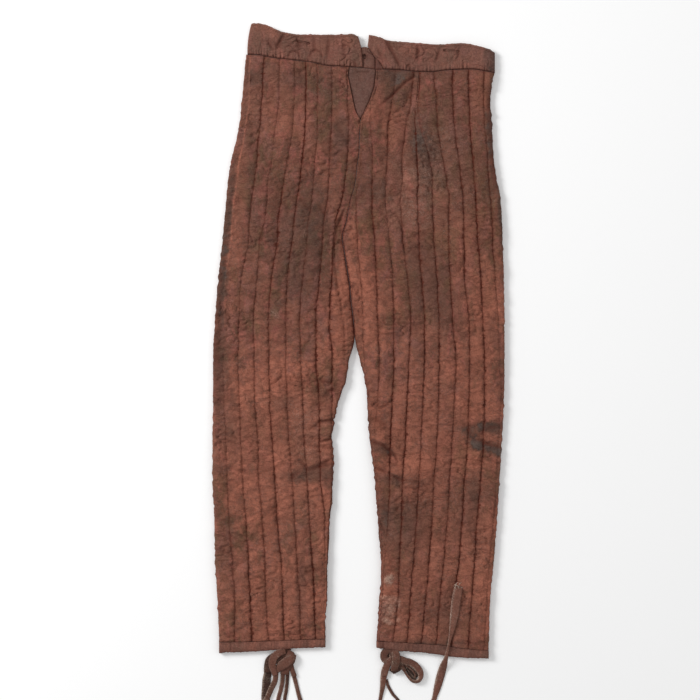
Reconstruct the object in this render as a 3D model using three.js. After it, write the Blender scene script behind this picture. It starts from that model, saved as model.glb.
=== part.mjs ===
// Quilted trouser liner, laid flat on its front with its back on top. Millimetres, +Z up from the
// surface that it lies on, +Y towards the waist, +X to the right leg as it is seen from above.
// The origin is on that surface, under the middle of the garment's own box.
// Each leg is two quilted panels that lie on each other: a back panel on top, whose channels stand up
// over a plain inside, and a front panel under it, pressed flat where it rests.
import * as THREE from "three";

// ---- Driving sizes ----------------------------------------------------------------------------
const GAP = 0.3; // between pieces that are sewn together or lie on each other
const FRONT_TOP = 5.0; // plain inside of the front layer, which rests on the surface
const BACK_BASE = FRONT_TOP + GAP; // plain inside of the back layer
const STITCH_WALL = 2.1; // cloth and wadding left at a line of quilting
const PUFF_WALL = 5.9; // the same at the crown of a full channel
const FULL_CHANNEL = 25.4; // pitch of the quilting, one inch
const FREE_EDGE_WALL = 1.3; // where the side of a leg rolls down to the front layer
const LEAST_CHANNEL = 1.1; // width left to a channel that has run off the edge
const EDGE_ROLL = 3.2; // how far the flat underside stays inside the outline
const SEAM_ROLL = 0.15; // share of that roll where two legs are sewn together
const BAND_WALL = 3.5; // waistband: cloth folded double over a strip of wadding
const HEM_WALL = 3.2; // binding along each hem, which holds the drawstring
const HEM_TAKE = 0.4; // how far each hem's ends stand proud of the leg's edge
const GUSSET_WALL = 2.4; // plain, unquilted cloth
const TAPE_WALL = 1.5; // tie tape, cut from the same cloth and folded
const FLOOR_CLEAR = 0.15; // tapes lie this far above the surface

const CLOTH = { color: 0x74503f, roughness: 0.95, metalness: 0 };
const PLAIN_CLOTH = { color: 0x6b4c42, roughness: 0.95, metalness: 0 };

// ---- Tables of the cut, a row for each section ---------------------------------------------------
// Left leg: its side edge and its eight lines of quilting, side seam first, at each height y.
const LEFT_LEG = [
  { y: 459, side: -178, lines: [-172, -148, -125, -102, -84, -66, -44, -18] },
  { y: 417, side: -182, lines: [-174, -152, -127, -102, -84, -66, -42, -18] },
  { y: 385, side: -186, lines: [-174, -154, -127, -102, -84, -66, -42, -18] },
  { y: 353, side: -190, lines: [-179, -157, -131, -104, -85, -65, -43, -15] },
  { y: 321, side: -196, lines: [-184, -160, -135, -108, -87, -66, -45, -16] },
  { y: 289, side: -204, lines: [-190, -162, -138, -114, -90, -70, -46, -18] },
  { y: 257, side: -209, lines: [-195, -167, -144, -119, -94, -71, -47, -21] },
  { y: 225, side: -212, lines: [-199, -170, -147, -124, -98, -74, -50, -27] },
  { y: 193, side: -215, lines: [-202, -174, -150, -129, -103, -80, -55, -36] },
  { y: 161, side: -218, lines: [-204, -176, -158, -130, -106, -82, -57, -40] },
  { y: 97, side: -225, lines: [-212, -188, -162, -140, -114, -90, -63, -43] },
  { y: 33, side: -230, lines: [-214, -191, -168, -144, -116, -94, -68, -47] },
  { y: -31, side: -233, lines: [-216, -193, -167, -143, -116, -92, -68, -42] },
  { y: -95, side: -233, lines: [-215, -191, -166, -142, -114, -89, -63, -42] },
  { y: -159, side: -234, lines: [-212, -188, -161, -138, -111, -87, -62, -43] },
  { y: -223, side: -234, lines: [-210, -185, -159, -134, -106, -82, -60, -43] },
  { y: -287, side: -231, lines: [-207, -180, -154, -130, -102, -78, -54, -48] },
  { y: -351, side: -230, lines: [-202, -176, -150, -124, -98, -74, -53, -51] },
  { y: -415, side: -226, lines: [-198, -173, -148, -121, -94, -70, -54, -52] },
  { y: -482, side: -223, lines: [-198, -171, -143, -119, -92, -68, -57, -55] },
];
// Right leg: its side edge and its ten lines of quilting, counted from the seat seam outwards.
const RIGHT_LEG = [
  { y: 436, side: 217, lines: [29, 30, 60, 89, 96, 98, 121, 151, 176, 201] },
  { y: 417, side: 214, lines: [28, 30, 59, 87, 95, 97, 122, 151, 176, 201] },
  { y: 385, side: 211, lines: [20, 22, 54, 84, 92, 94, 126, 151, 177, 201] },
  { y: 353, side: 214, lines: [6, 18, 49, 78, 91, 97, 126, 153, 178, 202] },
  { y: 321, side: 215, lines: [5, 21, 46, 73, 92, 105, 130, 156, 180, 205] },
  { y: 289, side: 217, lines: [3, 23, 46, 70, 94, 114, 135, 161, 184, 207] },
  { y: 257, side: 222, lines: [-1, 22, 44, 70, 95, 118, 141, 164, 186, 209] },
  { y: 225, side: 228, lines: [-4, 22, 44, 68, 95, 119, 145, 168, 188, 212] },
  { y: 161, side: 231, lines: [-2, 26, 50, 71, 97, 121, 145, 169, 191, 215] },
  { y: 97, side: 233, lines: [4, 29, 55, 79, 101, 126, 147, 170, 196, 219] },
  { y: 33, side: 234, lines: [7, 31, 57, 84, 106, 129, 151, 177, 199, 224] },
  { y: -31, side: 234, lines: [9, 33, 57, 81, 106, 130, 156, 178, 202, 226] },
  { y: -95, side: 233, lines: [16, 31, 54, 78, 103, 128, 154, 177, 202, 228] },
  { y: -159, side: 230, lines: [20, 25, 51, 75, 101, 126, 150, 175, 200, 223] },
  { y: -223, side: 226, lines: [27, 29, 50, 71, 97, 121, 146, 170, 196, 220] },
  { y: -287, side: 222, lines: [33, 34, 47, 69, 93, 118, 142, 166, 190, 216] },
  { y: -351, side: 217, lines: [38, 39, 42, 66, 88, 113, 137, 161, 186, 210] },
  { y: -415, side: 211, lines: [35, 36, 38, 63, 83, 107, 130, 154, 181, 205] },
  { y: -490, side: 208, lines: [31, 32, 33, 54, 77, 99, 123, 147, 174, 200] },
];
// Inner edge of each leg: the vent gusset's sides, then the seat seam, which the legs share, then the
// crease where the thighs touch, and below the fork the inseam edges, which part.
const INNER_EDGES = [
  { y: 439, left: -15, right: 28 },
  { y: 425, left: -17, right: 27 },
  { y: 409, left: -14, right: 25 },
  { y: 390, left: -10, right: 19 },
  { y: 366, left: -4, right: 9 },
  { y: 353, left: 3, right: 3 },
  { y: 337, left: 2, right: 2 },
  { y: 302, left: 1, right: 1 },
  { y: 281, left: -2, right: -2 },
  { y: 261, left: -4, right: -4 },
  { y: 241, left: -8, right: -8 },
  { y: 225, left: -13, right: -13 },
  { y: 193, left: -19, right: -19 },
  { y: 165, left: -26, right: -26 },
  { y: 145, left: -23, right: -23 },
  { y: 113, left: -18, right: -18 },
  { y: 89, left: -14, right: -14 },
  { y: 65, left: -12, right: -12 },
  { y: 33, left: -8, right: -8 },
  { y: 6, left: -6, right: -6 },
  { y: -31, left: -15, right: 2 },
  { y: -63, left: -20, right: 10 },
  { y: -95, left: -31, right: 14 },
  { y: -127, left: -38, right: 15 },
  { y: -159, left: -42, right: 18 },
  { y: -191, left: -39, right: 22 },
  { y: -223, left: -41, right: 26 },
  { y: -255, left: -42, right: 28 },
  { y: -287, left: -46, right: 31 },
  { y: -319, left: -47, right: 33 },
  { y: -351, left: -49, right: 36 },
  { y: -383, left: -50, right: 36 },
  { y: -415, left: -50, right: 33 },
  { y: -447, left: -53, right: 31 },
  { y: -482, left: -53, right: 29 },
  { y: -493, left: -54, right: 29 },
];
// The same edge on the front, which has no gusset: its centre seam runs on up to the waist.
const FRONT_CENTRE = [
  { y: 439, x: 6 },
  { y: 353, x: 3 },
];
// Seam between legs and waistband, and the waistband's top edge, across the garment.
const WAIST_SEAM = [
  { x: -180, y: 459 },
  { x: -159, y: 458 },
  { x: -138, y: 454 },
  { x: -102, y: 450 },
  { x: -74, y: 446.5 },
  { x: -49, y: 441 },
  { x: -15, y: 439 },
  { x: 14, y: 437 },
  { x: 28, y: 435.5 },
  { x: 66, y: 434.5 },
  { x: 82, y: 432.5 },
  { x: 114, y: 431 },
  { x: 148, y: 434.5 },
  { x: 178, y: 435.5 },
  { x: 207, y: 432 },
  { x: 219, y: 429 },
];
const BAND_TOP = [
  { x: -180, y: 497 },
  { x: -171, y: 508.5 },
  { x: -162, y: 509 },
  { x: -148, y: 506 },
  { x: -121, y: 495 },
  { x: -94, y: 491 },
  { x: -46, y: 490.5 },
  { x: -9, y: 491.5 },
  { x: 0, y: 488 },
  { x: 18, y: 490 },
  { x: 34, y: 486 },
  { x: 50, y: 481 },
  { x: 84, y: 478 },
  { x: 130, y: 475 },
  { x: 166, y: 477 },
  { x: 194, y: 472 },
  { x: 210, y: 467 },
  { x: 219, y: 461 },
];
// Foot of the quilting and lower edge of the binding, one pair for each leg.
const HEMS = {
  left: {
    top: [
      { x: -225, y: -483 },
      { x: -174, y: -482 },
      { x: -94, y: -479 },
      { x: -54, y: -478 },
    ],
    foot: [
      { x: -225, y: -500 },
      { x: -174, y: -498 },
      { x: -130, y: -495 },
      { x: -108, y: -493 },
      { x: -53, y: -491 },
    ],
  },
  right: {
    top: [
      { x: 27, y: -481 },
      { x: 98, y: -485 },
      { x: 130, y: -487 },
      { x: 178, y: -494 },
      { x: 209, y: -496 },
    ],
    foot: [
      { x: 27, y: -490 },
      { x: 66, y: -497 },
      { x: 98, y: -499 },
      { x: 130, y: -503 },
      { x: 146, y: -506 },
      { x: 178, y: -508 },
      { x: 209, y: -509 },
    ],
  },
};
// Heights of the panels' sections, closest together where the seams turn: at the gusset's point, the
// crotch and the fork.
const SECTIONS = [
  438, 425, 409, 390, 366, 353, 337, 302, 281, 261, 241, 225, 193, 165, 145, 113, 89, 65, 33, 6,
  -15, -31, -63, -95, -127, -159, -191, -223, -270, -319, -351, -400, -447, -480,
];
const FRONT_SECTIONS = [
  438, 417, 385, 353, 302, 261, 225, 193, 165, 145, 89, 33, 6, -31, -63, -127, -191, -270, -351, -418,
  -447, -480,
];
const FRONT_STATIONS = 12; // stretches across the front panel, which has no raised channels
const GUSSET_SECTIONS = 5; // how many of them the gusset takes, from the waist down
const WAIST_LEVEL = 438; // sections slant to follow the waist seam above the gusset's point
const SLANT_END = 337;
const HEM_LEVEL = -480; // and follow the hem in the last stretch
const HEM_SLANT_START = -400;

// Creases of the waistband: where each runs from its top to its foot, and how deep it is.
const BAND_CREASES = [
  { x: -122, foot: -126, depth: 1.1 },
  { x: -98, foot: -94, depth: 0.6 },
  { x: -71, foot: -70, depth: 0.9 },
  { x: -47, foot: -50, depth: 0.7 },
  { x: -22, foot: -24, depth: 0.8 },
  { x: 48, foot: 62, depth: 1.2 },
  { x: 95, foot: 95, depth: 1.2 },
  { x: 128, foot: 124, depth: 0.9 },
  { x: 162, foot: 158, depth: 0.7 },
];
const BAND_CREASE_WIDTH = 5;
const NOTCH = { leftTop: 0, leftFoot: 5, rightTop: 16.5, rightFoot: 14.5, floor: 471 };
// The right band's inner end is turned under on a slant; the bridge shows below it.
const BAND_TURN = [
  { y: 471, x: 15 },
  { y: 456, x: 26 },
  { y: 448, x: 34 },
  { y: 438, x: 40 },
];
const TURN_CLEAR = 1.5; // the bridge stays this far, along X, from the slanted end
// Small oval opening beside the bridge: its centre and half sizes.
const EYE = { x: 9.6, y: 455, across: 3.3, along: 4.2 };

// ---- Curves through a table -----------------------------------------------------------------------
// A smooth curve through a table's rows that never passes beyond them. It takes rows in either order.
function curve(rows, from, to) {
  const points = rows.map((row) => [from(row), to(row)]).sort((a, b) => a[0] - b[0]);
  const slope = points
    .slice(1)
    .map(([x, y], i) => (y - points[i][1]) / (x - points[i][0]));
  const tangent = points.map((_, i) => {
    const before = slope[Math.max(0, i - 1)];
    const after = slope[Math.min(slope.length - 1, i)];
    return before * after <= 0 ? 0 : (2 * before * after) / (before + after);
  });
  return (at) => {
    const x = THREE.MathUtils.clamp(at, points[0][0], points[points.length - 1][0]);
    let i = 0;
    while (i < points.length - 2 && x > points[i + 1][0]) i += 1;
    const width = points[i + 1][0] - points[i][0];
    const t = (x - points[i][0]) / width;
    const [a, b] = [points[i][1], points[i + 1][1]];
    return (
      a * (1 + 2 * t) * (1 - t) ** 2 +
      b * t * t * (3 - 2 * t) +
      width * (tangent[i] * t * (1 - t) ** 2 - tangent[i + 1] * t * t * (1 - t))
    );
  };
}
const byHeight = (rows, key) => curve(rows, (row) => row.y, (row) => row[key]);
const byWidth = (rows) => curve(rows, (row) => row.x, (row) => row.y);
const waistSeam = byWidth(WAIST_SEAM);
const bandTop = byWidth(BAND_TOP);
const frontCentre = byHeight(FRONT_CENTRE, "x");
const hem = Object.fromEntries(
  Object.entries(HEMS).map(([leg, edge]) => [leg, { top: byWidth(edge.top), foot: byWidth(edge.foot) }]),
);

// ---- Solids ---------------------------------------------------------------------------------------
// Faces over the strip between a ring's first points, as many as split says, and the rest of it, which
// run back beside them. Each step goes on along the side whose next point is nearer.
function stripFaces(ring, split, axis) {
  const near = ring.map((_, i) => i).slice(0, split);
  const far = ring.map((_, i) => i).slice(split).reverse();
  const reach = (chain, step) =>
    step < chain.length ? Math.abs(ring[chain[step]][axis] - ring[0][axis]) : Infinity;
  const faces = [];
  let [i, j] = [0, 0];
  while (i < near.length - 1 || j < far.length - 1) {
    if (reach(near, i + 1) <= reach(far, j + 1)) {
      faces.push([near[i], near[i + 1], far[j]]);
      i += 1;
    } else {
      faces.push([near[i], far[j + 1], far[j]]);
      j += 1;
    }
  }
  return faces;
}

// A closed solid through rings of points. Each ring holds the same number of points, in the same order
// round. The two end rings are closed by strips along an axis, or flat where no split is given.
function loft(rings, axis, split = 0) {
  const size = rings[0].length;
  const positions = rings.flat().flatMap((p) => [p.x, p.y, p.z]);
  const faces = [];
  for (let r = 0; r < rings.length - 1; r += 1)
    for (let i = 0; i < size; i += 1) {
      const [a, b] = [r * size + i, r * size + ((i + 1) % size)];
      faces.push(a, b, b + size, a, b + size, a + size);
    }
  const capFaces = (ring) =>
    split ? stripFaces(ring, split, axis) : ring.slice(2).map((_, i) => [0, i + 1, i + 2]);
  const lastRing = rings.length - 1;
  faces.push(...capFaces(rings[0]).flatMap(([a, b, c]) => [a, c, b]));
  faces.push(...capFaces(rings[lastRing]).flatMap((face) => face.map((i) => lastRing * size + i)));
  const geometry = new THREE.BufferGeometry();
  geometry.setAttribute("position", new THREE.Float32BufferAttribute(positions, 3));
  geometry.setIndex(faces);
  if (volume(geometry) < 0) turnOver(geometry);
  geometry.computeVertexNormals();
  return geometry;
}

function volume(geometry) {
  const position = geometry.getAttribute("position");
  const [a, b, c] = [new THREE.Vector3(), new THREE.Vector3(), new THREE.Vector3()];
  let sum = 0;
  for (let i = 0; i < geometry.index.count; i += 3) {
    a.fromBufferAttribute(position, geometry.index.getX(i));
    b.fromBufferAttribute(position, geometry.index.getX(i + 1));
    c.fromBufferAttribute(position, geometry.index.getX(i + 2));
    sum += a.dot(b.cross(c)) / 6;
  }
  return sum;
}

function turnOver(geometry) {
  const index = geometry.index;
  for (let i = 0; i < index.count; i += 3) {
    const second = index.getX(i + 1);
    index.setX(i + 1, index.getX(i + 2));
    index.setX(i + 2, second);
  }
}

const garment = new THREE.Group();
function add(name, geometry, look) {
  const mesh = new THREE.Mesh(geometry, new THREE.MeshStandardMaterial(look));
  mesh.name = name;
  garment.add(mesh);
}

// ---- Quilted panels -------------------------------------------------------------------------------
// What one leg's panels share: its edges and lines of quilting as curves down the leg.
function legCut(leg, rows) {
  const sideEdge = byHeight(rows, "side");
  const innerEdge = byHeight(INNER_EDGES, leg);
  const lines = rows[0].lines.map((_, i) => curve(rows, (row) => row.y, (row) => row.lines[i]));
  return { leg, outward: leg === "left" ? -1 : 1, sideEdge, innerEdge, lines };
}
const LEGS = [legCut("left", LEFT_LEG), legCut("right", RIGHT_LEG)];

// Height of a section where it crosses x: level in the middle of the leg, and slanted at both ends.
function sectionHeight(cut, level, x) {
  const waistShare = THREE.MathUtils.smoothstep(level, SLANT_END, WAIST_LEVEL);
  const hemShare = 1 - THREE.MathUtils.smoothstep(level, HEM_LEVEL, HEM_SLANT_START);
  const waistShift = waistSeam(x) - GAP - WAIST_LEVEL;
  const hemShift = hem[cut.leg].top(x) + GAP - HEM_LEVEL;
  return level + waistShare * waistShift + hemShare * hemShift;
}

// The places across a section, from the leg's inner edge outwards: inner edge, lines, side edge.
function stations(cut, level, innerEdge) {
  const inner = innerEdge(level) + (cut.outward * GAP) / 2;
  const side = cut.sideEdge(level);
  const lines = cut.lines.map((line) => line(level));
  if (cut.leg === "left") lines.reverse();
  const places = [inner, ...lines, side];
  for (let i = 1; i < places.length - 1; i += 1) {
    const least = places[i - 1] * cut.outward + LEAST_CHANNEL;
    const most = side * cut.outward - (places.length - 1 - i) * LEAST_CHANNEL;
    places[i] = cut.outward * THREE.MathUtils.clamp(places[i] * cut.outward, least, most);
  }
  return places;
}

// Wall at a share t across a channel: stitched thin at both lines and full at the crown.
function puff(width, t, ends) {
  const fullness = Math.min(1, width / FULL_CHANNEL);
  const rise = (PUFF_WALL - STITCH_WALL) * fullness * Math.sqrt(4 * t * (1 - t));
  return THREE.MathUtils.lerp(ends[0], ends[1], t) + rise;
}

const CHANNEL_SHARES = [0, 0.25, 0.75];
const INSIDE_SHARES = [0, 0.5];
function backPanel(cut) {
  const rings = SECTIONS.map((level) => {
    const places = stations(cut, level, cut.innerEdge);
    const last = places.length - 1;
    const top = [];
    const inside = [];
    for (let i = 0; i < last; i += 1) {
      const width = Math.abs(places[i + 1] - places[i]);
      const free = level < 6 && i === 0;
      const ends = [free ? FREE_EDGE_WALL : STITCH_WALL, i === last - 1 ? FREE_EDGE_WALL : STITCH_WALL];
      const at = (share, wall) => {
        const x = THREE.MathUtils.lerp(places[i], places[i + 1], share);
        return new THREE.Vector3(x, sectionHeight(cut, level, x), BACK_BASE + wall);
      };
      top.push(...CHANNEL_SHARES.map((share) => at(share, puff(width, share, ends))));
      inside.push(...INSIDE_SHARES.map((share) => at(share, 0)));
    }
    const edge = places[last];
    const edgeHeight = sectionHeight(cut, level, edge);
    top.push(new THREE.Vector3(edge, edgeHeight, BACK_BASE + FREE_EDGE_WALL));
    inside.push(new THREE.Vector3(edge, edgeHeight, BACK_BASE));
    return [...top, ...inside.reverse()];
  });
  return loft(rings, "x", CHANNEL_SHARES.length * (cut.lines.length + 1) + 1);
}

// The front panel lies under the back one, plain inside and pressed flat on the surface.
function frontPanel(cut) {
  const innerEdge = (y) => (y > 353 ? frontCentre(y) : cut.innerEdge(y));
  const rings = FRONT_SECTIONS.map((level) => {
    const inner = innerEdge(level) + (cut.outward * GAP) / 2;
    const side = cut.sideEdge(level);
    const at = (x, z) => new THREE.Vector3(x, sectionHeight(cut, level, x), z);
    const roll = cut.outward * EDGE_ROLL;
    const innerRoll = level < 6 ? roll : roll * SEAM_ROLL;
    const across = [];
    for (let i = 1; i < FRONT_STATIONS; i += 1)
      across.push(THREE.MathUtils.lerp(inner, side, i / FRONT_STATIONS));
    const inside = [inner, ...across, side].map((x) => at(x, FRONT_TOP));
    return [
      ...inside,
      at(side, FRONT_TOP - FREE_EDGE_WALL),
      at(side - roll * 0.3, 1.2),
      at(side - roll, 0),
      ...across.map((x) => at(x, 0)).reverse(),
      at(inner + innerRoll, 0),
      at(inner + innerRoll * 0.3, 1.2),
      at(inner, FRONT_TOP - FREE_EDGE_WALL),
    ];
  });
  return loft(rings, "x", FRONT_STATIONS + 1);
}

for (const cut of LEGS) {
  add(`leg_${cut.leg}_back`, backPanel(cut), CLOTH);
  add(`leg_${cut.leg}_front`, frontPanel(cut), CLOTH);
}

// ---- Vent gusset ------------------------------------------------------------------------------------
// A plain triangle let in below the notch of the waistband, between the two back panels.
function ventGusset() {
  const [left, right] = LEGS;
  const rings = SECTIONS.slice(0, GUSSET_SECTIONS).map((level) => {
    const from = left.innerEdge(level) + GAP / 2;
    const to = right.innerEdge(level) - GAP / 2;
    const at = (share, wall) => {
      const x = THREE.MathUtils.lerp(from, to, share);
      return new THREE.Vector3(x, sectionHeight(left, level, x), BACK_BASE + wall);
    };
    return [
      at(0, GUSSET_WALL * 0.8),
      at(0.25, GUSSET_WALL * 1.1),
      at(0.5, GUSSET_WALL * 1.25),
      at(0.75, GUSSET_WALL * 1.1),
      at(1, GUSSET_WALL * 0.8),
      at(1, 0),
      at(0.5, 0),
      at(0, 0),
    ];
  });
  return loft(rings, "x", 5);
}
add("vent_gusset", ventGusset(), PLAIN_CLOTH);

// ---- Waistband --------------------------------------------------------------------------------------
// Drop of the band's top face at x, y from the creases that cross it.
function creaseDepth(x, y) {
  const share = THREE.MathUtils.clamp((bandTop(x) - y) / (bandTop(x) - waistSeam(x)), 0, 1);
  return BAND_CREASES.reduce((sum, crease) => {
    const away = (x - THREE.MathUtils.lerp(crease.x, crease.foot, share)) / BAND_CREASE_WIDTH;
    return sum + crease.depth * Math.exp(-away * away);
  }, 0);
}

// A length of band, lofted across the garment. ends(share) gives its two end places at a share of its
// height, from the seam (0) up to the top edge (1), so that an end may slant.
const BAND_SHARES = [0, 0.08, 0.36, 0.64, 0.92, 1];
const BAND_WALLS = { back: [0.62, 0.9, 1, 1, 0.92, 0.6], front: [0.7, 1, 1, 1, 1, 0.7] };
function bandPiece(ends, count, isBack) {
  const shares = BAND_SHARES;
  const walls = isBack ? BAND_WALLS.back : BAND_WALLS.front;
  const rings = [];
  for (let i = 0; i <= count; i += 1) {
    const along = i / count;
    const at = (share, z) => {
      const [from, to] = ends(share);
      const x = THREE.MathUtils.lerp(from, to, along);
      const low = waistSeam(x) + GAP / 2;
      return new THREE.Vector3(x, THREE.MathUtils.lerp(low, bandTop(x), share), z);
    };
    if (isBack) {
      const top = shares.map((share, k) => {
        const point = at(share, 0);
        point.z = BACK_BASE + BAND_WALL * walls[k] - creaseDepth(point.x, point.y) * walls[k];
        return point;
      });
      rings.push([...top, at(1, BACK_BASE), at(0.5, BACK_BASE), at(0, BACK_BASE)]);
    } else {
      const under = shares.map((share, k) => at(share, FRONT_TOP * (1 - walls[k])));
      rings.push([...under, at(1, FRONT_TOP), at(0.5, FRONT_TOP), at(0, FRONT_TOP)]);
    }
  }
  return loft(rings, "y", shares.length);
}
const bandEnd = { left: -178, leftTop: -171.5, right: 218.5 };
const atHeight = (share, x) => THREE.MathUtils.lerp(waistSeam(x) + GAP / 2, bandTop(x), share);
const notchFoot = { left: 8 - GAP, front: 6 };
const bandTurn = byHeight(BAND_TURN, "x");

function leftBandEnds(share) {
  const height = atHeight(share, -5);
  const notch = THREE.MathUtils.clamp((height - NOTCH.floor) / (488 - NOTCH.floor), 0, 1);
  const below = THREE.MathUtils.clamp((height - 439) / (NOTCH.floor - 439), 0, 1);
  const inner =
    height > NOTCH.floor
      ? THREE.MathUtils.lerp(NOTCH.leftFoot, NOTCH.leftTop, notch)
      : THREE.MathUtils.lerp(notchFoot.left, NOTCH.leftFoot, below);
  return [THREE.MathUtils.lerp(bandEnd.left, bandEnd.leftTop, share ** 3), inner];
}
function rightBandEnds(share) {
  const height = atHeight(share, 18);
  const notch = THREE.MathUtils.clamp((height - NOTCH.floor) / (488 - NOTCH.floor), 0, 1);
  const inner =
    height > NOTCH.floor
      ? THREE.MathUtils.lerp(NOTCH.rightFoot, NOTCH.rightTop, notch)
      : bandTurn(height);
  return [inner, bandEnd.right];
}
add("band_left_back", bandPiece(leftBandEnds, 34, true), PLAIN_CLOTH);
add("band_right_back", bandPiece(rightBandEnds, 34, true), PLAIN_CLOTH);
const frontEnds = (from, to) => (share) => [
  from + (from < -100 ? 6.5 * share ** 3 : 0),
  to,
];
add("band_left_front", bandPiece(frontEnds(bandEnd.left, NOTCH.leftTop - GAP), 16, false), PLAIN_CLOTH);
add("band_right_front", bandPiece(frontEnds(17.5, bandEnd.right), 18, false), PLAIN_CLOTH);

// The bridge joins the band's two halves below the notch, at the back and again at the front.
function bridgeOutline(isBack) {
  const foot = (x) => waistSeam(x) + GAP / 2;
  const shape = new THREE.Shape();
  if (isBack) {
    shape.moveTo(notchFoot.left + GAP * 2, foot(notchFoot.left + GAP * 2));
    shape.lineTo(20, foot(20));
    for (const share of BAND_SHARES.filter((share) => atHeight(share, 18) < NOTCH.floor)) {
      const x = rightBandEnds(share)[0];
      shape.lineTo(x - TURN_CLEAR, atHeight(share, x));
    }
    shape.lineTo(NOTCH.leftFoot + GAP, NOTCH.floor - 0.4);
    shape.lineTo(NOTCH.leftFoot + GAP * 6, EYE.y + EYE.along);
    shape.absellipse(EYE.x, EYE.y, EYE.across, EYE.along, Math.PI * 0.6, -Math.PI * 0.75, true);
  } else {
    shape.moveTo(NOTCH.leftTop, foot(NOTCH.leftTop));
    shape.lineTo(17.2, foot(17.2));
    shape.lineTo(17.2, NOTCH.floor - 1);
    shape.lineTo(NOTCH.leftTop, NOTCH.floor - 1);
  }
  return shape;
}
function bridge(isBack) {
  const wall = isBack ? BAND_WALL * 0.72 : FRONT_TOP;
  const geometry = new THREE.ExtrudeGeometry(bridgeOutline(isBack), {
    depth: wall,
    bevelEnabled: false,
    curveSegments: 10,
  });
  geometry.translate(0, 0, isBack ? BACK_BASE : 0);
  return geometry;
}
add("band_bridge_back", bridge(true), PLAIN_CLOTH);
add("band_bridge_front", bridge(false), PLAIN_CLOTH);

// ---- Hem bindings -----------------------------------------------------------------------------------
function hemPiece(cut, isBack) {
  const { top, foot } = hem[cut.leg];
  const count = 14;
  const rings = [];
  for (let i = 0; i <= count; i += 1) {
    const along = i / count;
    const from = cut.innerEdge(-487) - cut.outward * HEM_TAKE;
    const to = cut.sideEdge(-484) + cut.outward * HEM_TAKE;
    const x = THREE.MathUtils.lerp(from, to, along);
    const at = (share, z) => new THREE.Vector3(x, THREE.MathUtils.lerp(foot(x), top(x) - GAP / 2, share), z);
    if (isBack) {
      rings.push([
        at(0, BACK_BASE + HEM_WALL * 0.5),
        at(0.25, BACK_BASE + HEM_WALL),
        at(0.75, BACK_BASE + HEM_WALL),
        at(1, BACK_BASE + HEM_WALL * 0.6),
        at(1, BACK_BASE),
        at(0, BACK_BASE),
      ]);
    } else {
      rings.push([
        at(0, 1.6),
        at(0.2, 0),
        at(0.8, 0),
        at(1, 1.2),
        at(1, FRONT_TOP),
        at(0, FRONT_TOP),
      ]);
    }
  }
  return loft(rings, "y", 4);
}
for (const cut of LEGS) {
  add(`hem_${cut.leg}_back`, hemPiece(cut, true), PLAIN_CLOTH);
  add(`hem_${cut.leg}_front`, hemPiece(cut, false), PLAIN_CLOTH);
}

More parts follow.
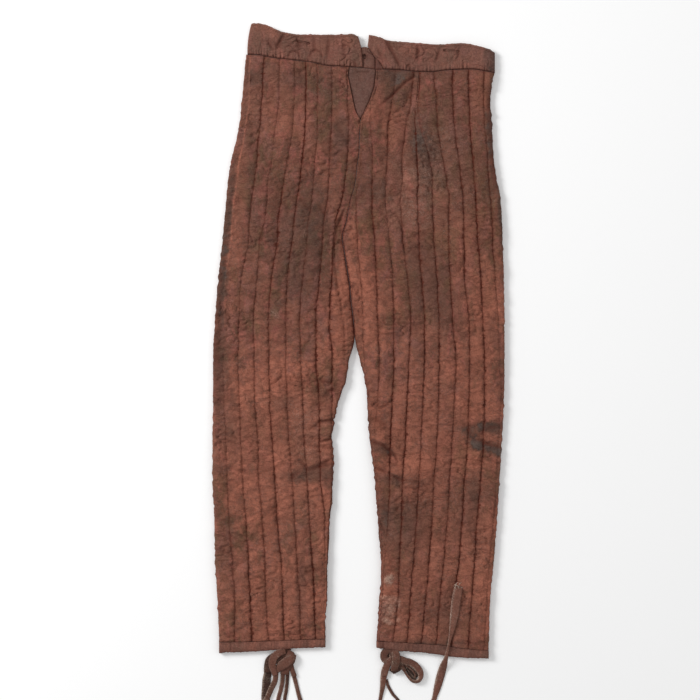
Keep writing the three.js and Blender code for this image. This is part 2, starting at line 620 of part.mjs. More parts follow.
// ---- Ties ---------------------------------------------------------------------------------------------
// Flat tapes. Each row is a point of the tape's middle line with its width there as it is seen from
// above; a narrow width is where the tape is folded in on itself or turned towards its edge.
const FLAT = FLOOR_CLEAR + TAPE_WALL / 2;
const TIES = {
  tie_left_wide: [
    { x: -142.5, y: -524.5, z: FLAT, width: 11 },
    { x: -147, y: -540, z: FLAT, width: 13 },
    { x: -148, y: -556, z: FLAT, width: 14 },
    { x: -149, y: -575, z: FLAT, width: 14 },
    { x: -147, y: -600, z: FLAT, width: 14 },
    { x: -142, y: -628, z: FLAT, width: 14 },
    { x: -135, y: -655, z: FLAT, width: 14 },
  ],
  tie_left_crossing: [
    { x: -132.3, y: -529, z: FLAT + 2.6, width: 8 },
    { x: -134, y: -545, z: FLAT + 2.4, width: 9 },
    { x: -140, y: -558, z: FLAT + 2.2, width: 9 },
    { x: -147, y: -574, z: FLAT + 2.0, width: 9 },
    { x: -156, y: -592, z: FLAT + 1.9, width: 10 },
    { x: -166, y: -609, z: FLAT + 0.7, width: 12 },
    { x: -178, y: -624, z: FLAT, width: 13 },
    { x: -192, y: -637, z: FLAT, width: 13 },
  ],
  tie_left_middle: [
    { x: -121.5, y: -530.4, z: FLAT, width: 7 },
    { x: -122, y: -546, z: FLAT, width: 7 },
    { x: -125, y: -561, z: FLAT, width: 7 },
    { x: -129, y: -577, z: FLAT, width: 7 },
    { x: -130, y: -600, z: FLAT, width: 9 },
    { x: -122, y: -624, z: FLAT, width: 11 },
    { x: -110, y: -647, z: FLAT, width: 12 },
  ],
  tie_left_inner: [
    { x: -113.8, y: -530.3, z: FLAT, width: 6 },
    { x: -114.5, y: -546, z: FLAT, width: 6 },
    { x: -116, y: -561, z: FLAT, width: 6 },
    { x: -118.5, y: -577, z: FLAT, width: 6 },
    { x: -117, y: -598, z: FLAT, width: 8 },
    { x: -107, y: -620, z: FLAT, width: 10 },
    { x: -93, y: -639, z: FLAT, width: 12 },
  ],
  tie_left_outer: [
    { x: -107, y: -527, z: FLAT, width: 8 },
    { x: -103, y: -540, z: FLAT, width: 7 },
    { x: -99, y: -556, z: FLAT, width: 6.5 },
    { x: -94, y: -575, z: FLAT, width: 7 },
    { x: -86, y: -597, z: FLAT, width: 9 },
    { x: -74, y: -618, z: FLAT, width: 11 },
    { x: -59, y: -635, z: FLAT, width: 12 },
  ],
  tie_right_wide: [
    { x: 44.7, y: -523.3, z: FLAT, width: 11 },
    { x: 40.5, y: -538, z: FLAT, width: 11 },
    { x: 38.5, y: -556, z: FLAT, width: 8 },
    { x: 35, y: -575, z: FLAT, width: 6 },
    { x: 30, y: -598, z: FLAT, width: 8 },
    { x: 24, y: -622, z: FLAT, width: 11 },
    { x: 20, y: -648, z: FLAT, width: 12 },
  ],
  tie_right_thin: [
    { x: 47.5, y: -546, z: FLAT, width: 4.5 },
    { x: 48.5, y: -556, z: FLAT, width: 5 },
    { x: 55, y: -567, z: FLAT, width: 5 },
    { x: 62, y: -575, z: FLAT, width: 5 },
    { x: 74, y: -592, z: FLAT, width: 7 },
    { x: 83, y: -612, z: FLAT, width: 9 },
    { x: 86, y: -637, z: FLAT, width: 11 },
  ],
  leg_tape: [
    { x: 160, y: -394, z: 12.6, width: 14 },
    { x: 156, y: -415, z: 12.6, width: 15 },
    { x: 152, y: -447, z: 12.5, width: 12.5 },
    { x: 146, y: -478, z: 12.2, width: 5 },
    { x: 142.5, y: -494, z: 11.4, width: 4.5 },
    { x: 140, y: -508, z: 8.4, width: 7 },
    { x: 137, y: -519, z: 4.4, width: 11 },
    { x: 133.6, y: -531, z: FLAT + 0.3, width: 13 },
    { x: 130, y: -544, z: FLAT, width: 13 },
    { x: 126, y: -559, z: FLAT, width: 11 },
    { x: 122, y: -573, z: FLAT, width: 8 },
    { x: 115, y: -597, z: FLAT, width: 10 },
    { x: 111, y: -622, z: FLAT, width: 13 },
    { x: 113, y: -650, z: FLAT, width: 14 },
  ],
};
const TAPE_SIDES = 8;
function tape(rows) {
  const middle = new THREE.CatmullRomCurve3(rows.map((row) => new THREE.Vector3(row.x, row.y, row.z)));
  const width = new THREE.CatmullRomCurve3(rows.map((row, i) => new THREE.Vector3(i, row.width, 0)));
  const steps = (rows.length - 1) * 2;
  const rings = [];
  for (let i = 0; i <= steps; i += 1) {
    const centre = middle.getPoint(i / steps);
    const along = middle.getTangent(i / steps);
    const across = new THREE.Vector3(-along.y, along.x, 0).normalize();
    const half = width.getPoint(i / steps).y / 2;
    const ring = [];
    for (let k = 0; k < TAPE_SIDES; k += 1) {
      const turn = (Math.PI * 2 * (k + 0.5)) / TAPE_SIDES;
      const flatter = Math.sign(Math.sin(turn)) * Math.min(1, Math.abs(Math.sin(turn)) * 1.3);
      const point = centre.clone().addScaledVector(across, Math.cos(turn) * half * 1.08);
      point.z += (flatter * TAPE_WALL) / 2;
      ring.push(point);
    }
    rings.push(ring);
  }
  return loft(rings, "x");
}
for (const [name, rows] of Object.entries(TIES)) add(name, tape(rows), PLAIN_CLOTH);

// Knots: a low lump of wrapped tape, flat below, and the right one's bow loop beside it.
const KNOTS = {
  knot_left: {
    outline: [
      { x: -129, y: -496.8 },
      { x: -109, y: -495.3 },
      { x: -103.5, y: -506 },
      { x: -106, y: -519 },
      { x: -112, y: -529.5 },
      { x: -127, y: -529.5 },
      { x: -139, y: -525 },
      { x: -144, y: -515 },
      { x: -136, y: -507 },
    ],
    height: 10.5,
  },
  knot_right: {
    outline: [
      { x: 39, y: -494.8 },
      { x: 59, y: -497.6 },
      { x: 67, y: -508 },
      { x: 68.5, y: -518 },
      { x: 63, y: -529 },
      { x: 56, y: -531 },
      { x: 49, y: -523 },
      { x: 37, y: -514 },
      { x: 36, y: -503 },
    ],
    height: 10.5,
  },
};
// Its outline drawn in and lifted in steps to a rounded crown.
const KNOT_STEPS = [
  { inset: 0.1, rise: 0 },
  { inset: 0, rise: 0.22 },
  { inset: 0.02, rise: 0.5 },
  { inset: 0.2, rise: 0.82 },
  { inset: 0.5, rise: 1 },
];
function knot({ outline, height }) {
  const path = new THREE.CatmullRomCurve3(
    outline.map((p) => new THREE.Vector3(p.x, p.y, 0)),
    true,
  );
  const edge = path.getPoints(22).slice(0, -1);
  const centre = edge.reduce((sum, p) => sum.add(p), new THREE.Vector3()).divideScalar(edge.length);
  const rings = KNOT_STEPS.map(({ inset, rise }) =>
    edge.map((p) => {
      const point = p.clone().lerp(centre, inset);
      point.z = FLOOR_CLEAR + rise * height;
      return point;
    }),
  );
  return loft(rings, "x");
}
for (const [name, shape] of Object.entries(KNOTS)) add(name, knot(shape), PLAIN_CLOTH);

// The bow loop is a tape on edge, bent back on itself: an open ring, wider on the side that leans over.
const LOOP_PATH = [
  { x: 70.5, y: -513, wall: 8 },
  { x: 80, y: -513.5, wall: 9 },
  { x: 91, y: -519, wall: 9 },
  { x: 99, y: -528, wall: 8 },
  { x: 101, y: -537, wall: 7 },
  { x: 96, y: -545, wall: 6 },
  { x: 87, y: -545, wall: 4.5 },
  { x: 79, y: -537, wall: 3.5 },
  { x: 73, y: -528, wall: 3 },
  { x: 69.5, y: -521.5, wall: 3 },
];
const LOOP_HEIGHT = 9;
function bowLoop() {
  const middle = new THREE.CatmullRomCurve3(LOOP_PATH.map((p) => new THREE.Vector3(p.x, p.y, 0)));
  const wall = new THREE.CatmullRomCurve3(LOOP_PATH.map((p, i) => new THREE.Vector3(i, p.wall, 0)));
  const steps = 18;
  const rings = [];
  for (let i = 0; i <= steps; i += 1) {
    const centre = middle.getPoint(i / steps);
    const along = middle.getTangent(i / steps);
    const across = new THREE.Vector3(-along.y, along.x, 0).normalize();
    const half = wall.getPoint(i / steps).y / 2;
    const corner = (side, z) => {
      const point = centre.clone().addScaledVector(across, side * half);
      point.z = z;
      return point;
    };
    rings.push([
      corner(-1, FLOOR_CLEAR + 1),
      corner(-0.5, FLOOR_CLEAR),
      corner(0.5, FLOOR_CLEAR),
      corner(1, FLOOR_CLEAR + 1),
      corner(0.8, LOOP_HEIGHT - 1),
      corner(0.2, LOOP_HEIGHT),
      corner(-0.4, LOOP_HEIGHT - 2),
    ]);
  }
  return loft(rings, "x");
}
add("tie_right_loop", bowLoop(), PLAIN_CLOTH);

export default garment;
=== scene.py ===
"""Quilted trouser liner, laid flat on its front with its back on top.

Every piece of cloth is a closed shell on the form of its solid in the frame. The cut is repeated here
from the part's source, in millimetres: x to the right leg, y towards the waist, z up from the surface.
"""

from __future__ import annotations

import bisect
import logging
import math
from collections.abc import Callable, Iterable, Sequence
from dataclasses import dataclass
from enum import Enum

import bmesh
import bpy
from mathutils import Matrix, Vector, noise

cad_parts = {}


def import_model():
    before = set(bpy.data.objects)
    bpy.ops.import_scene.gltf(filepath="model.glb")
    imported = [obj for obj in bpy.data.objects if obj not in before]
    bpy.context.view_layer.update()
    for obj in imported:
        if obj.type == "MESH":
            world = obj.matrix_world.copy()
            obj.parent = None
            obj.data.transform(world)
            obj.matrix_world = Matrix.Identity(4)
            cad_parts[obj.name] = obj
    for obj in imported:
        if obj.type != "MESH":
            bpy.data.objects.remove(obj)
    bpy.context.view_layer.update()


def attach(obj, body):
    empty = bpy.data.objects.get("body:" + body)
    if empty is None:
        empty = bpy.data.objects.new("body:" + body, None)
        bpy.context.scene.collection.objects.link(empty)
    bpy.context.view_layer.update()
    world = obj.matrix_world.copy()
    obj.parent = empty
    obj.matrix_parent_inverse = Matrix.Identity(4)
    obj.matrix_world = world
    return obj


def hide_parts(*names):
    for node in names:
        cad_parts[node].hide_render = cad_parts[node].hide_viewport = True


LOG = logging.getLogger("liner")

MM = 0.001
BODY = "root"

# Driving sizes, as in the part's source.
GAP = 0.3
FRONT_TOP = 5.0
BACK_BASE = FRONT_TOP + GAP
STITCH_WALL = 2.1
PUFF_WALL = 5.9
FULL_CHANNEL = 25.4
FREE_EDGE_WALL = 1.3
LEAST_CHANNEL = 1.1
EDGE_ROLL = 3.2
BAND_WALL = 3.5
HEM_WALL = 3.2
HEM_TAKE = 0.4
GUSSET_WALL = 2.4
TAPE_WALL = 1.5
FLOOR_CLEAR = 0.15
WAIST_LEVEL = 438.0
SLANT_END = 337.0
HEM_LEVEL = -480.0
HEM_SLANT_START = -400.0
FORK_LEVEL = 6.0

# What only the finished cloth has.
CHANNEL_COLUMNS = 16  # columns of mesh in one channel of the quilting
ROW_PITCH = 1.76  # between rows of mesh down a leg
SEWN_WALL = 2.7  # height of the cloth on a strong line of quilting
STITCH_PITCH = 4.4
STITCH_LENGTH = 3.0
STITCH_WIDTH = 0.6
THINNEST = 0.6  # least wall of the plain cloth
LINE_RISE = 1.3  # how much higher the cloth stays on a line of quilting that hardly shows
LEG_PRESS = 1.35  # how deep the creases are pressed, against their tables
BAND_PRESS = 1.5
WAIST_SEAM_WIDTH = 2.7
TOP_STITCH_INSET = 4.2  # row of stitches below the waistband's top edge
END_STITCH_INSETS = (5.2, 7.0)  # rows at the waistband's right end
STITCH_LIFT = 0.15

PICTURE_SIDE = 1120.0  # width and height of the floor that the camera sees
PICTURE_CENTRE = (-13.6, -14.6)
LENS = 85.0
SENSOR = 36.0

Point2 = tuple[float, float]
Colour = tuple[float, float, float]
Socket = bpy.types.NodeSocket
Material = bpy.types.Material
Piece = bpy.types.Object


class Side(Enum):
    """A leg, by the way outwards along x."""

    LEFT = -1
    RIGHT = 1


# ---- The cut ------------------------------------------------------------------------------------
# Each leg at each height: y, side edge, lines of quilting.
LEFT_ROWS = (
    (459, -178, (-172, -148, -125, -102, -84, -66, -44, -18)),
    (417, -182, (-174, -152, -127, -102, -84, -66, -42, -18)),
    (385, -186, (-174, -154, -127, -102, -84, -66, -42, -18)),
    (353, -190, (-179, -157, -131, -104, -85, -65, -43, -15)),
    (321, -196, (-184, -160, -135, -108, -87, -66, -45, -16)),
    (289, -204, (-190, -162, -138, -114, -90, -70, -46, -18)),
    (257, -209, (-195, -167, -144, -119, -94, -71, -47, -21)),
    (225, -212, (-199, -170, -147, -124, -98, -74, -50, -27)),
    (193, -215, (-202, -174, -150, -129, -103, -80, -55, -36)),
    (161, -218, (-204, -176, -158, -130, -106, -82, -57, -40)),
    (97, -225, (-212, -188, -162, -140, -114, -90, -63, -43)),
    (33, -230, (-214, -191, -168, -144, -116, -94, -68, -47)),
    (-31, -233, (-216, -193, -167, -143, -116, -92, -68, -42)),
    (-95, -233, (-215, -191, -166, -142, -114, -89, -63, -42)),
    (-159, -234, (-212, -188, -161, -138, -111, -87, -62, -43)),
    (-223, -234, (-210, -185, -159, -134, -106, -82, -60, -43)),
    (-287, -231, (-207, -180, -154, -130, -102, -78, -54, -48)),
    (-351, -230, (-202, -176, -150, -124, -98, -74, -53, -51)),
    (-415, -226, (-198, -173, -148, -121, -94, -70, -54, -52)),
    (-482, -223, (-198, -171, -143, -119, -92, -68, -57, -55)),
)
RIGHT_ROWS = (
    (436, 217, (29, 30, 60, 89, 96, 98, 121, 151, 176, 201)),
    (417, 214, (28, 30, 59, 87, 95, 97, 122, 151, 176, 201)),
    (385, 211, (20, 22, 54, 84, 92, 94, 126, 151, 177, 201)),
    (353, 214, (6, 18, 49, 78, 91, 97, 126, 153, 178, 202)),
    (321, 215, (5, 21, 46, 73, 92, 105, 130, 156, 180, 205)),
    (289, 217, (3, 23, 46, 70, 94, 114, 135, 161, 184, 207)),
    (257, 222, (-1, 22, 44, 70, 95, 118, 141, 164, 186, 209)),
    (225, 228, (-4, 22, 44, 68, 95, 119, 145, 168, 188, 212)),
    (161, 231, (-2, 26, 50, 71, 97, 121, 145, 169, 191, 215)),
    (97, 233, (4, 29, 55, 79, 101, 126, 147, 170, 196, 219)),
    (33, 234, (7, 31, 57, 84, 106, 129, 151, 177, 199, 224)),
    (-31, 234, (9, 33, 57, 81, 106, 130, 156, 178, 202, 226)),
    (-95, 233, (16, 31, 54, 78, 103, 128, 154, 177, 202, 228)),
    (-159, 230, (20, 25, 51, 75, 101, 126, 150, 175, 200, 223)),
    (-223, 226, (27, 29, 50, 71, 97, 121, 146, 170, 196, 220)),
    (-287, 222, (33, 34, 47, 69, 93, 118, 142, 166, 190, 216)),
    (-351, 217, (38, 39, 42, 66, 88, 113, 137, 161, 186, 210)),
    (-415, 211, (35, 36, 38, 63, 83, 107, 130, 154, 181, 205)),
    (-490, 208, (31, 32, 33, 54, 77, 99, 123, 147, 174, 200)),
)
# Inner edge of each leg at each height: y, left leg, right leg.
INNER_ROWS = (
    (439, -15, 28), (425, -17, 27), (409, -14, 25), (390, -10, 19), (366, -4, 9), (353, 3, 3),
    (337, 2, 2), (302, 1, 1), (281, -2, -2), (261, -4, -4), (241, -8, -8), (225, -13, -13),
    (193, -19, -19), (165, -26, -26), (145, -23, -23), (113, -18, -18), (89, -14, -14), (65, -12, -12),
    (33, -8, -8), (6, -6, -6), (-31, -15, 2), (-63, -20, 10), (-95, -31, 14), (-127, -38, 15),
    (-159, -42, 18), (-191, -39, 22), (-223, -41, 26), (-255, -42, 28), (-287, -46, 31), (-319, -47, 33),
    (-351, -49, 36), (-383, -50, 36), (-415, -50, 33), (-447, -53, 31), (-482, -53, 29), (-493, -54, 29),
)
FRONT_CENTRE = ((353, 3), (439, 6))
# How strongly each line of quilting shows at a height, in the order of the tables above.
LINE_STRENGTHS = {
    Side.LEFT: (
        (430, (0.0, 0.8, 0.45, 0.3, 1.0, 0.6, 0.2, 0.4)),
        (320, (0.0, 0.75, 0.15, 0.3, 1.0, 0.35, 0.5, 0.5)),
        (200, (0.0, 0.5, 0.4, 0.9, 0.75, 0.35, 0.5, 0.9)),
        (0, (0.1, 0.35, 0.5, 0.65, 0.5, 0.6, 0.95, 0.9)),
        (-200, (0.3, 0.4, 0.55, 0.8, 0.5, 0.6, 0.85, 0.3)),
        (-400, (0.6, 0.95, 0.6, 0.75, 0.6, 1.0, 0.0, 0.0)),
    ),
    Side.RIGHT: (
        (430, (0.4, 0.15, 0.15, 0.9, 0.1, 1.0, 0.5, 0.85, 0.85, 0.7)),
        (320, (0.3, 0.35, 0.7, 0.5, 1.0, 0.4, 0.6, 0.6, 0.9, 0.6)),
        (200, (0.5, 0.85, 0.3, 0.5, 0.7, 0.7, 0.7, 0.8, 1.0, 0.75)),
        (0, (0.4, 0.7, 0.8, 0.7, 0.95, 0.8, 0.7, 0.7, 0.85, 0.15)),
        (-150, (0.3, 0.3, 0.95, 0.9, 0.6, 0.6, 0.6, 0.75, 0.85, 0.15)),
        (-400, (0.0, 0.0, 0.0, 0.75, 0.85, 0.85, 0.75, 1.0, 0.85, 0.3)),
    ),
}
SEAT_SEAM_STRENGTH = (
    (353, 0.7), (300, 0.75), (240, 0.9), (190, 1.2), (150, 1.4), (60, 1.2), (6, 1.4), (-20, 0.0),
)
WAIST_SEAM = (
    (-180, 459), (-159, 458), (-138, 454), (-102, 450), (-74, 446.5), (-49, 441), (-15, 439), (14, 437),
    (28, 435.5), (66, 434.5), (82, 432.5), (114, 431), (148, 434.5), (178, 435.5), (207, 432), (219, 429),
)
BAND_TOP = (
    (-180, 497), (-171, 508.5), (-162, 509), (-148, 506), (-121, 495), (-94, 491), (-46, 490.5),
    (-9, 491.5), (0, 488), (18, 490), (34, 486), (50, 481), (84, 478), (130, 475), (166, 477), (194, 472),
    (210, 467), (219, 461),
)
HEM_TOP = {
    Side.LEFT: ((-225, -483), (-174, -482), (-94, -479), (-54, -478)),
    Side.RIGHT: ((27, -481), (98, -485), (130, -487), (178, -494), (209, -496)),
}
HEM_FOOT = {
    Side.LEFT: ((-225, -500), (-174, -498), (-130, -495), (-108, -493), (-53, -491)),
    Side.RIGHT: ((27, -490), (66, -497), (98, -499), (130, -503), (146, -506), (178, -508), (209, -509)),
}
NOTCH_LEFT_TOP, NOTCH_LEFT_FOOT = 0.0, 5.0
NOTCH_RIGHT_TOP, NOTCH_RIGHT_FOOT = 16.5, 14.5
NOTCH_FLOOR = 471.0
NOTCH_SIDE = 17.0  # height of the notch's sloping sides
BRIDGE_LEFT = 8.0
BRIDGE_FOOT = 439.0
BAND_LEFT_END = -178.0
BAND_LEFT_LEAN = 6.5  # how far in the left end's top corner lies
BAND_RIGHT_END = 218.5
GUSSET_FOOT = 355.0
TUCK_LEVEL = 430.5  # small tuck across the gusset's top
TUCK_MIDDLE = 7.5
ROLLED_CORNER = 32.0  # where the right hem's corner is rolled, across
ROLLED_EDGE = 39.5
BAND_TURN = ((438, 40), (448, 34), (456, 26), (471, 15))
EYE = (9.6, 455.0, 3.3, 4.2)


@dataclass(frozen=True)
class Crease:
    """A crease or fold pressed into the cloth between two points, in millimetres.

    A negative depth is a ridge.
    """

    start: Point2
    end: Point2
    depth: float
    width: float

    def drop(self, x: float, y: float) -> float:
        """Return how far the crease lets the surface down.

        Args:
            x: Place across the garment.
            y: Place along the garment.

        Returns:
            Drop in millimetres, which fades towards both ends of the crease.
        """
        run = (self.end[0] - self.start[0], self.end[1] - self.start[1])
        length_squared = run[0] ** 2 + run[1] ** 2
        along = ((x - self.start[0]) * run[0] + (y - self.start[1]) * run[1]) / length_squared
        near = min(1.0, max(0.0, along))
        away = math.hypot(x - self.start[0] - near * run[0], y - self.start[1] - near * run[1])
        if away > 3 * self.width:
            return 0.0
        fade = math.sin(math.pi * (0.12 + 0.76 * near))
        return self.depth * fade * bell(away, self.width)

    def reaches(self, y: float) -> bool:
        """Return whether the crease comes near a height.

        Args:
            y: Height along the garment.

        Returns:
            True where a point at that height can be moved by it.
        """
        margin = 3 * self.width
        low, high = sorted((self.start[1], self.end[1]))
        return low - margin <= y <= high + margin


def rows_of(kind: Callable[..., object], *rows: Sequence[float]) -> tuple[object, ...]:
    """Make one item from each row of a table, whose first four numbers are two points."""
    return tuple(kind(row[:2], row[2:4], *row[4:]) for row in rows)


# Where folds pull in the left leg's inner edge at the knee: level, depth.
KNEE_NOTCHES = ((-80.0, 1.6), (-127.0, 2.4), (-153.0, 3.2), (-190.0, 1.6))
# Each crease: x and y where it starts, x and y where it ends, its depth and its width.
LEG_CREASES = rows_of(
    Crease,
    # Fans out from the foot of the right dart towards the seat seam.
    (90, 424, 72, 411, 2.2, 2.0), (76, 414, 58, 397, 2.4, 2.2), (62, 401, 42, 382, 2.0, 2.2),
    (46, 386, 28, 370, 1.2, 2.4), (82, 396, 73, 375, 1.6, 2.0), (74, 377, 58, 366, 1.4, 2.2),
    (70, 396, 48, 374, -0.8, 3.0), (45, 297, 34, 285, 1.0, 3.0), (56, 206, 68, 191, 1.2, 3.4),
    (68, 191, 74, 145, 1.2, 3.2), (28, 262, 12, 240, 0.9, 4.0), (10, 244, -8, 214, 1.0, 4.0),
    # Crotch, and the inner thighs below it.
    (-33, 163, -22, 152, 2.6, 2.2), (-26, 165, -31, 192, 1.2, 3.5), (-22, 211, -35, 180, 2.2, 2.4),
    (-35, 180, -39, 150, 2.0, 2.2), (-39, 155, -38, 125, 1.6, 1.8), (-38, 125, -34, 85, 1.5, 1.6),
    (-35, 97, -27, 49, 1.5, 1.6), (-29, 60, -22, 4, 1.5, 1.6), (-23, 10, -22, -31, 1.3, 1.8),
    (-43, 170, -42, 100, -1.0, 2.0), (-42, 110, -36, 60, -0.8, 2.0), (-17, 60, -12, 71, 1.4, 2.0),
    (-18, 34, -8, 40, 1.2, 1.8), (-28, 22, -9, 16, 1.0, 2.0), (-6, 52, 6, 44, 1.2, 1.8),
    # Left knee: folds that run in from the inner edge.
    (-66, -62, -42, -68, 2.2, 2.4), (-52, -80, -36, -79, 2.2, 2.2), (-58, -90, -47, -84, 1.2, 2.6),
    (-64, -130, -38, -126, 3.0, 2.2), (-60, -136, -40, -134, -0.9, 2.4), (-82, -144, -62, -132, 1.3, 2.4),
    (-62, -162, -40, -156, 2.6, 2.2), (-86, -152, -60, -160, 1.2, 2.6), (-62, -198, -43, -188, 1.8, 2.6),
    (-70, -100, -44, -106, 1.0, 2.6), (-96, -152, -84, -166, 1.2, 3.5), (-84, -166, -42, -172, 1.6, 4.0),
    (-100, -186, -80, -206, 1.5, 3.2), (-80, -206, -44, -196, 1.8, 4.4),
    (-112, -226, -92, -206, 0.9, 3.2), (-150, -208, -112, -196, 0.8, 3.2),
    (-206, -204, -170, -212, 0.8, 3.2), (-222, -164, -190, -152, 0.8, 3.4),
    (-228, -96, -206, -88, 0.8, 3.2), (-196, -60, -176, -80, 0.8, 3.0), (-140, -70, -118, -52, 0.9, 3.0),
    # Right knee.
    (18, -96, 36, -108, 1.2, 3.4), (20, -124, 44, -134, 1.4, 3.6), (20, -160, 44, -168, 2.2, 2.8),
    (40, -168, 60, -184, 2.6, 2.2), (57, -181, 63, -194, 1.8, 2.0), (24, -202, 50, -212, 1.8, 3.0),
    (50, -212, 70, -226, 1.8, 2.6), (34, -108, 46, -102, 1.8, 2.0), (46, -102, 60, -90, 1.4, 2.0),
    (72, -236, 84, -234, 1.6, 2.0), (84, -234, 96, -242, 1.4, 2.0), (66, -220, 112, -232, 1.0, 3.4),
    (112, -232, 128, -206, 0.9, 3.2), (118, -176, 140, -162, 0.8, 3.0), (232, -172, 186, -158, 1.5, 4.0),
    (186, -158, 166, -128, 1.0, 3.6), (230, -136, 196, -142, 1.4, 4.0), (230, -198, 196, -186, 1.0, 3.6),
    (30, -262, 52, -276, 1.1, 3.2), (34, -290, 46, -312, 1.0, 3.0), (60, -250, 64, -282, 0.9, 3.2),
    (232, -52, 204, -34, 0.9, 3.4),
    # Shins.
    (-96, -318, -84, -338, 0.9, 3.0), (-204, -246, -178, -262, 0.7, 3.0),
    (-136, -268, -124, -300, 0.8, 3.0), (-214, -336, -190, -352, 0.9, 3.0),
    (-168, -342, -152, -366, 0.8, 3.0), (-84, -372, -58, -362, 0.9, 3.2),
    (-84, -392, -66, -412, 0.9, 3.0), (66, -356, 86, -366, 0.8, 3.0), (104, -362, 122, -350, 0.8, 3.0),
    (52, -392, 62, -430, 0.8, 3.0), (86, -438, 104, -428, 0.7, 3.0),
    # Hips and thighs, broad and shallow.
    (-186, 348, -158, 336, 0.8, 4.0), (-182, 318, -160, 312, 0.8, 3.4), (-36, 350, -20, 322, 0.8, 3.4),
    (-96, 232, -76, 206, 0.9, 4.0), (-66, 222, -48, 190, 0.9, 4.0), (104, 338, 116, 306, 1.0, 4.0),
    (116, 306, 112, 270, 0.9, 4.0), (76, 246, 102, 232, 0.8, 4.0), (150, 226, 168, 206, 0.7, 4.0),
    (84, 150, 112, 116, 0.9, 4.4), (30, 78, 48, 54, 0.8, 4.0), (-10, 92, 4, 66, 0.9, 3.4),
    (-8, 50, 8, 34, 0.9, 3.4),
)
BAND_CREASES = rows_of(
    Crease,
    (-119, 492, -131, 468, 1.8, 3.0), (-145, 477, -136, 466, 1.0, 2.4), (-113, 454, -110, 462, 0.9, 2.0),
    (-110, 462, -104, 465, 0.9, 2.0), (-104, 465, -97, 461, 0.9, 2.0), (-97, 461, -94, 453, 0.9, 2.0),
    (-78, 454, -75, 463, 0.9, 2.0), (-75, 463, -68, 466, 1.0, 2.0), (-68, 466, -60, 462, 0.9, 2.0),
    (-60, 462, -57, 453, 0.9, 2.0), (-98, 484, -94, 462, 0.8, 3.6), (-71, 488, -70, 462, 0.8, 3.4),
    (-47, 486, -50, 452, 0.9, 3.6), (-22, 480, -24, 450, 0.8, 3.6), (-6, 448, -4, 440, 1.1, 2.4),
    (44, 482, 58, 456, 1.6, 3.2), (58, 456, 66, 440, 1.2, 3.0), (95, 472, 95, 449, 1.5, 2.6),
    (130, 466, 124, 448, 1.2, 2.6), (81, 444, 79, 438, 1.3, 2.0), (162, 470, 158, 450, 0.7, 3.4),
    (30, 470, 38, 452, 0.8, 3.0), (24, 474, 30, 458, -0.8, 3.2), (-150, 482, -120, 470, 0.6, 4.0),
    (-112, 470, -84, 474, 0.6, 3.0), (74, 458, 92, 452, 0.6, 3.0),
)
BRIDGE_CREASES = rows_of(
    Crease,
    (8.8, 452, 8.8, 438, 1.4, 1.2), (15, 463, 24, 458, 1.5, 1.3), (23, 459, 27.4, 453, 1.5, 1.3),
    (27.2, 457, 27.2, 434, 1.9, 1.3), (19, 471, 23, 461, 0.9, 1.2), (32, 452, 36, 440, 0.9, 1.2),
)


@dataclass(frozen=True)
class Patch:
    """A soft-edged oval patch on the cloth: centre, half sizes and turn, and how strong it is."""

    centre: Point2
    half: Point2
    turn: float
    strength: float

    def share(self, x: float, y: float) -> float:
        """Return the patch's strength at a place.

        Args:
            x: Place across the garment, in millimetres.
            y: Place along the garment, in millimetres.

        Returns:
            Strength from 0 to the patch's own, with a ragged edge.
        """
        turn = math.radians(self.turn)
        dx, dy = x - self.centre[0], y - self.centre[1]
        across = (dx * math.cos(turn) + dy * math.sin(turn)) / self.half[0]
        along = (dy * math.cos(turn) - dx * math.sin(turn)) / self.half[1]
        radius = math.hypot(across, along)
        if radius > 1.9:
            return 0.0
        ragged = 0.46 * noise.noise(Vector((x / 14, y / 14, 3.7))) + 0.3 * noise.noise(
            Vector((x / 5, y / 5, 8.1))
        )
        return self.strength * (1 - smoothstep(0.35, 1.35, radius + ragged))


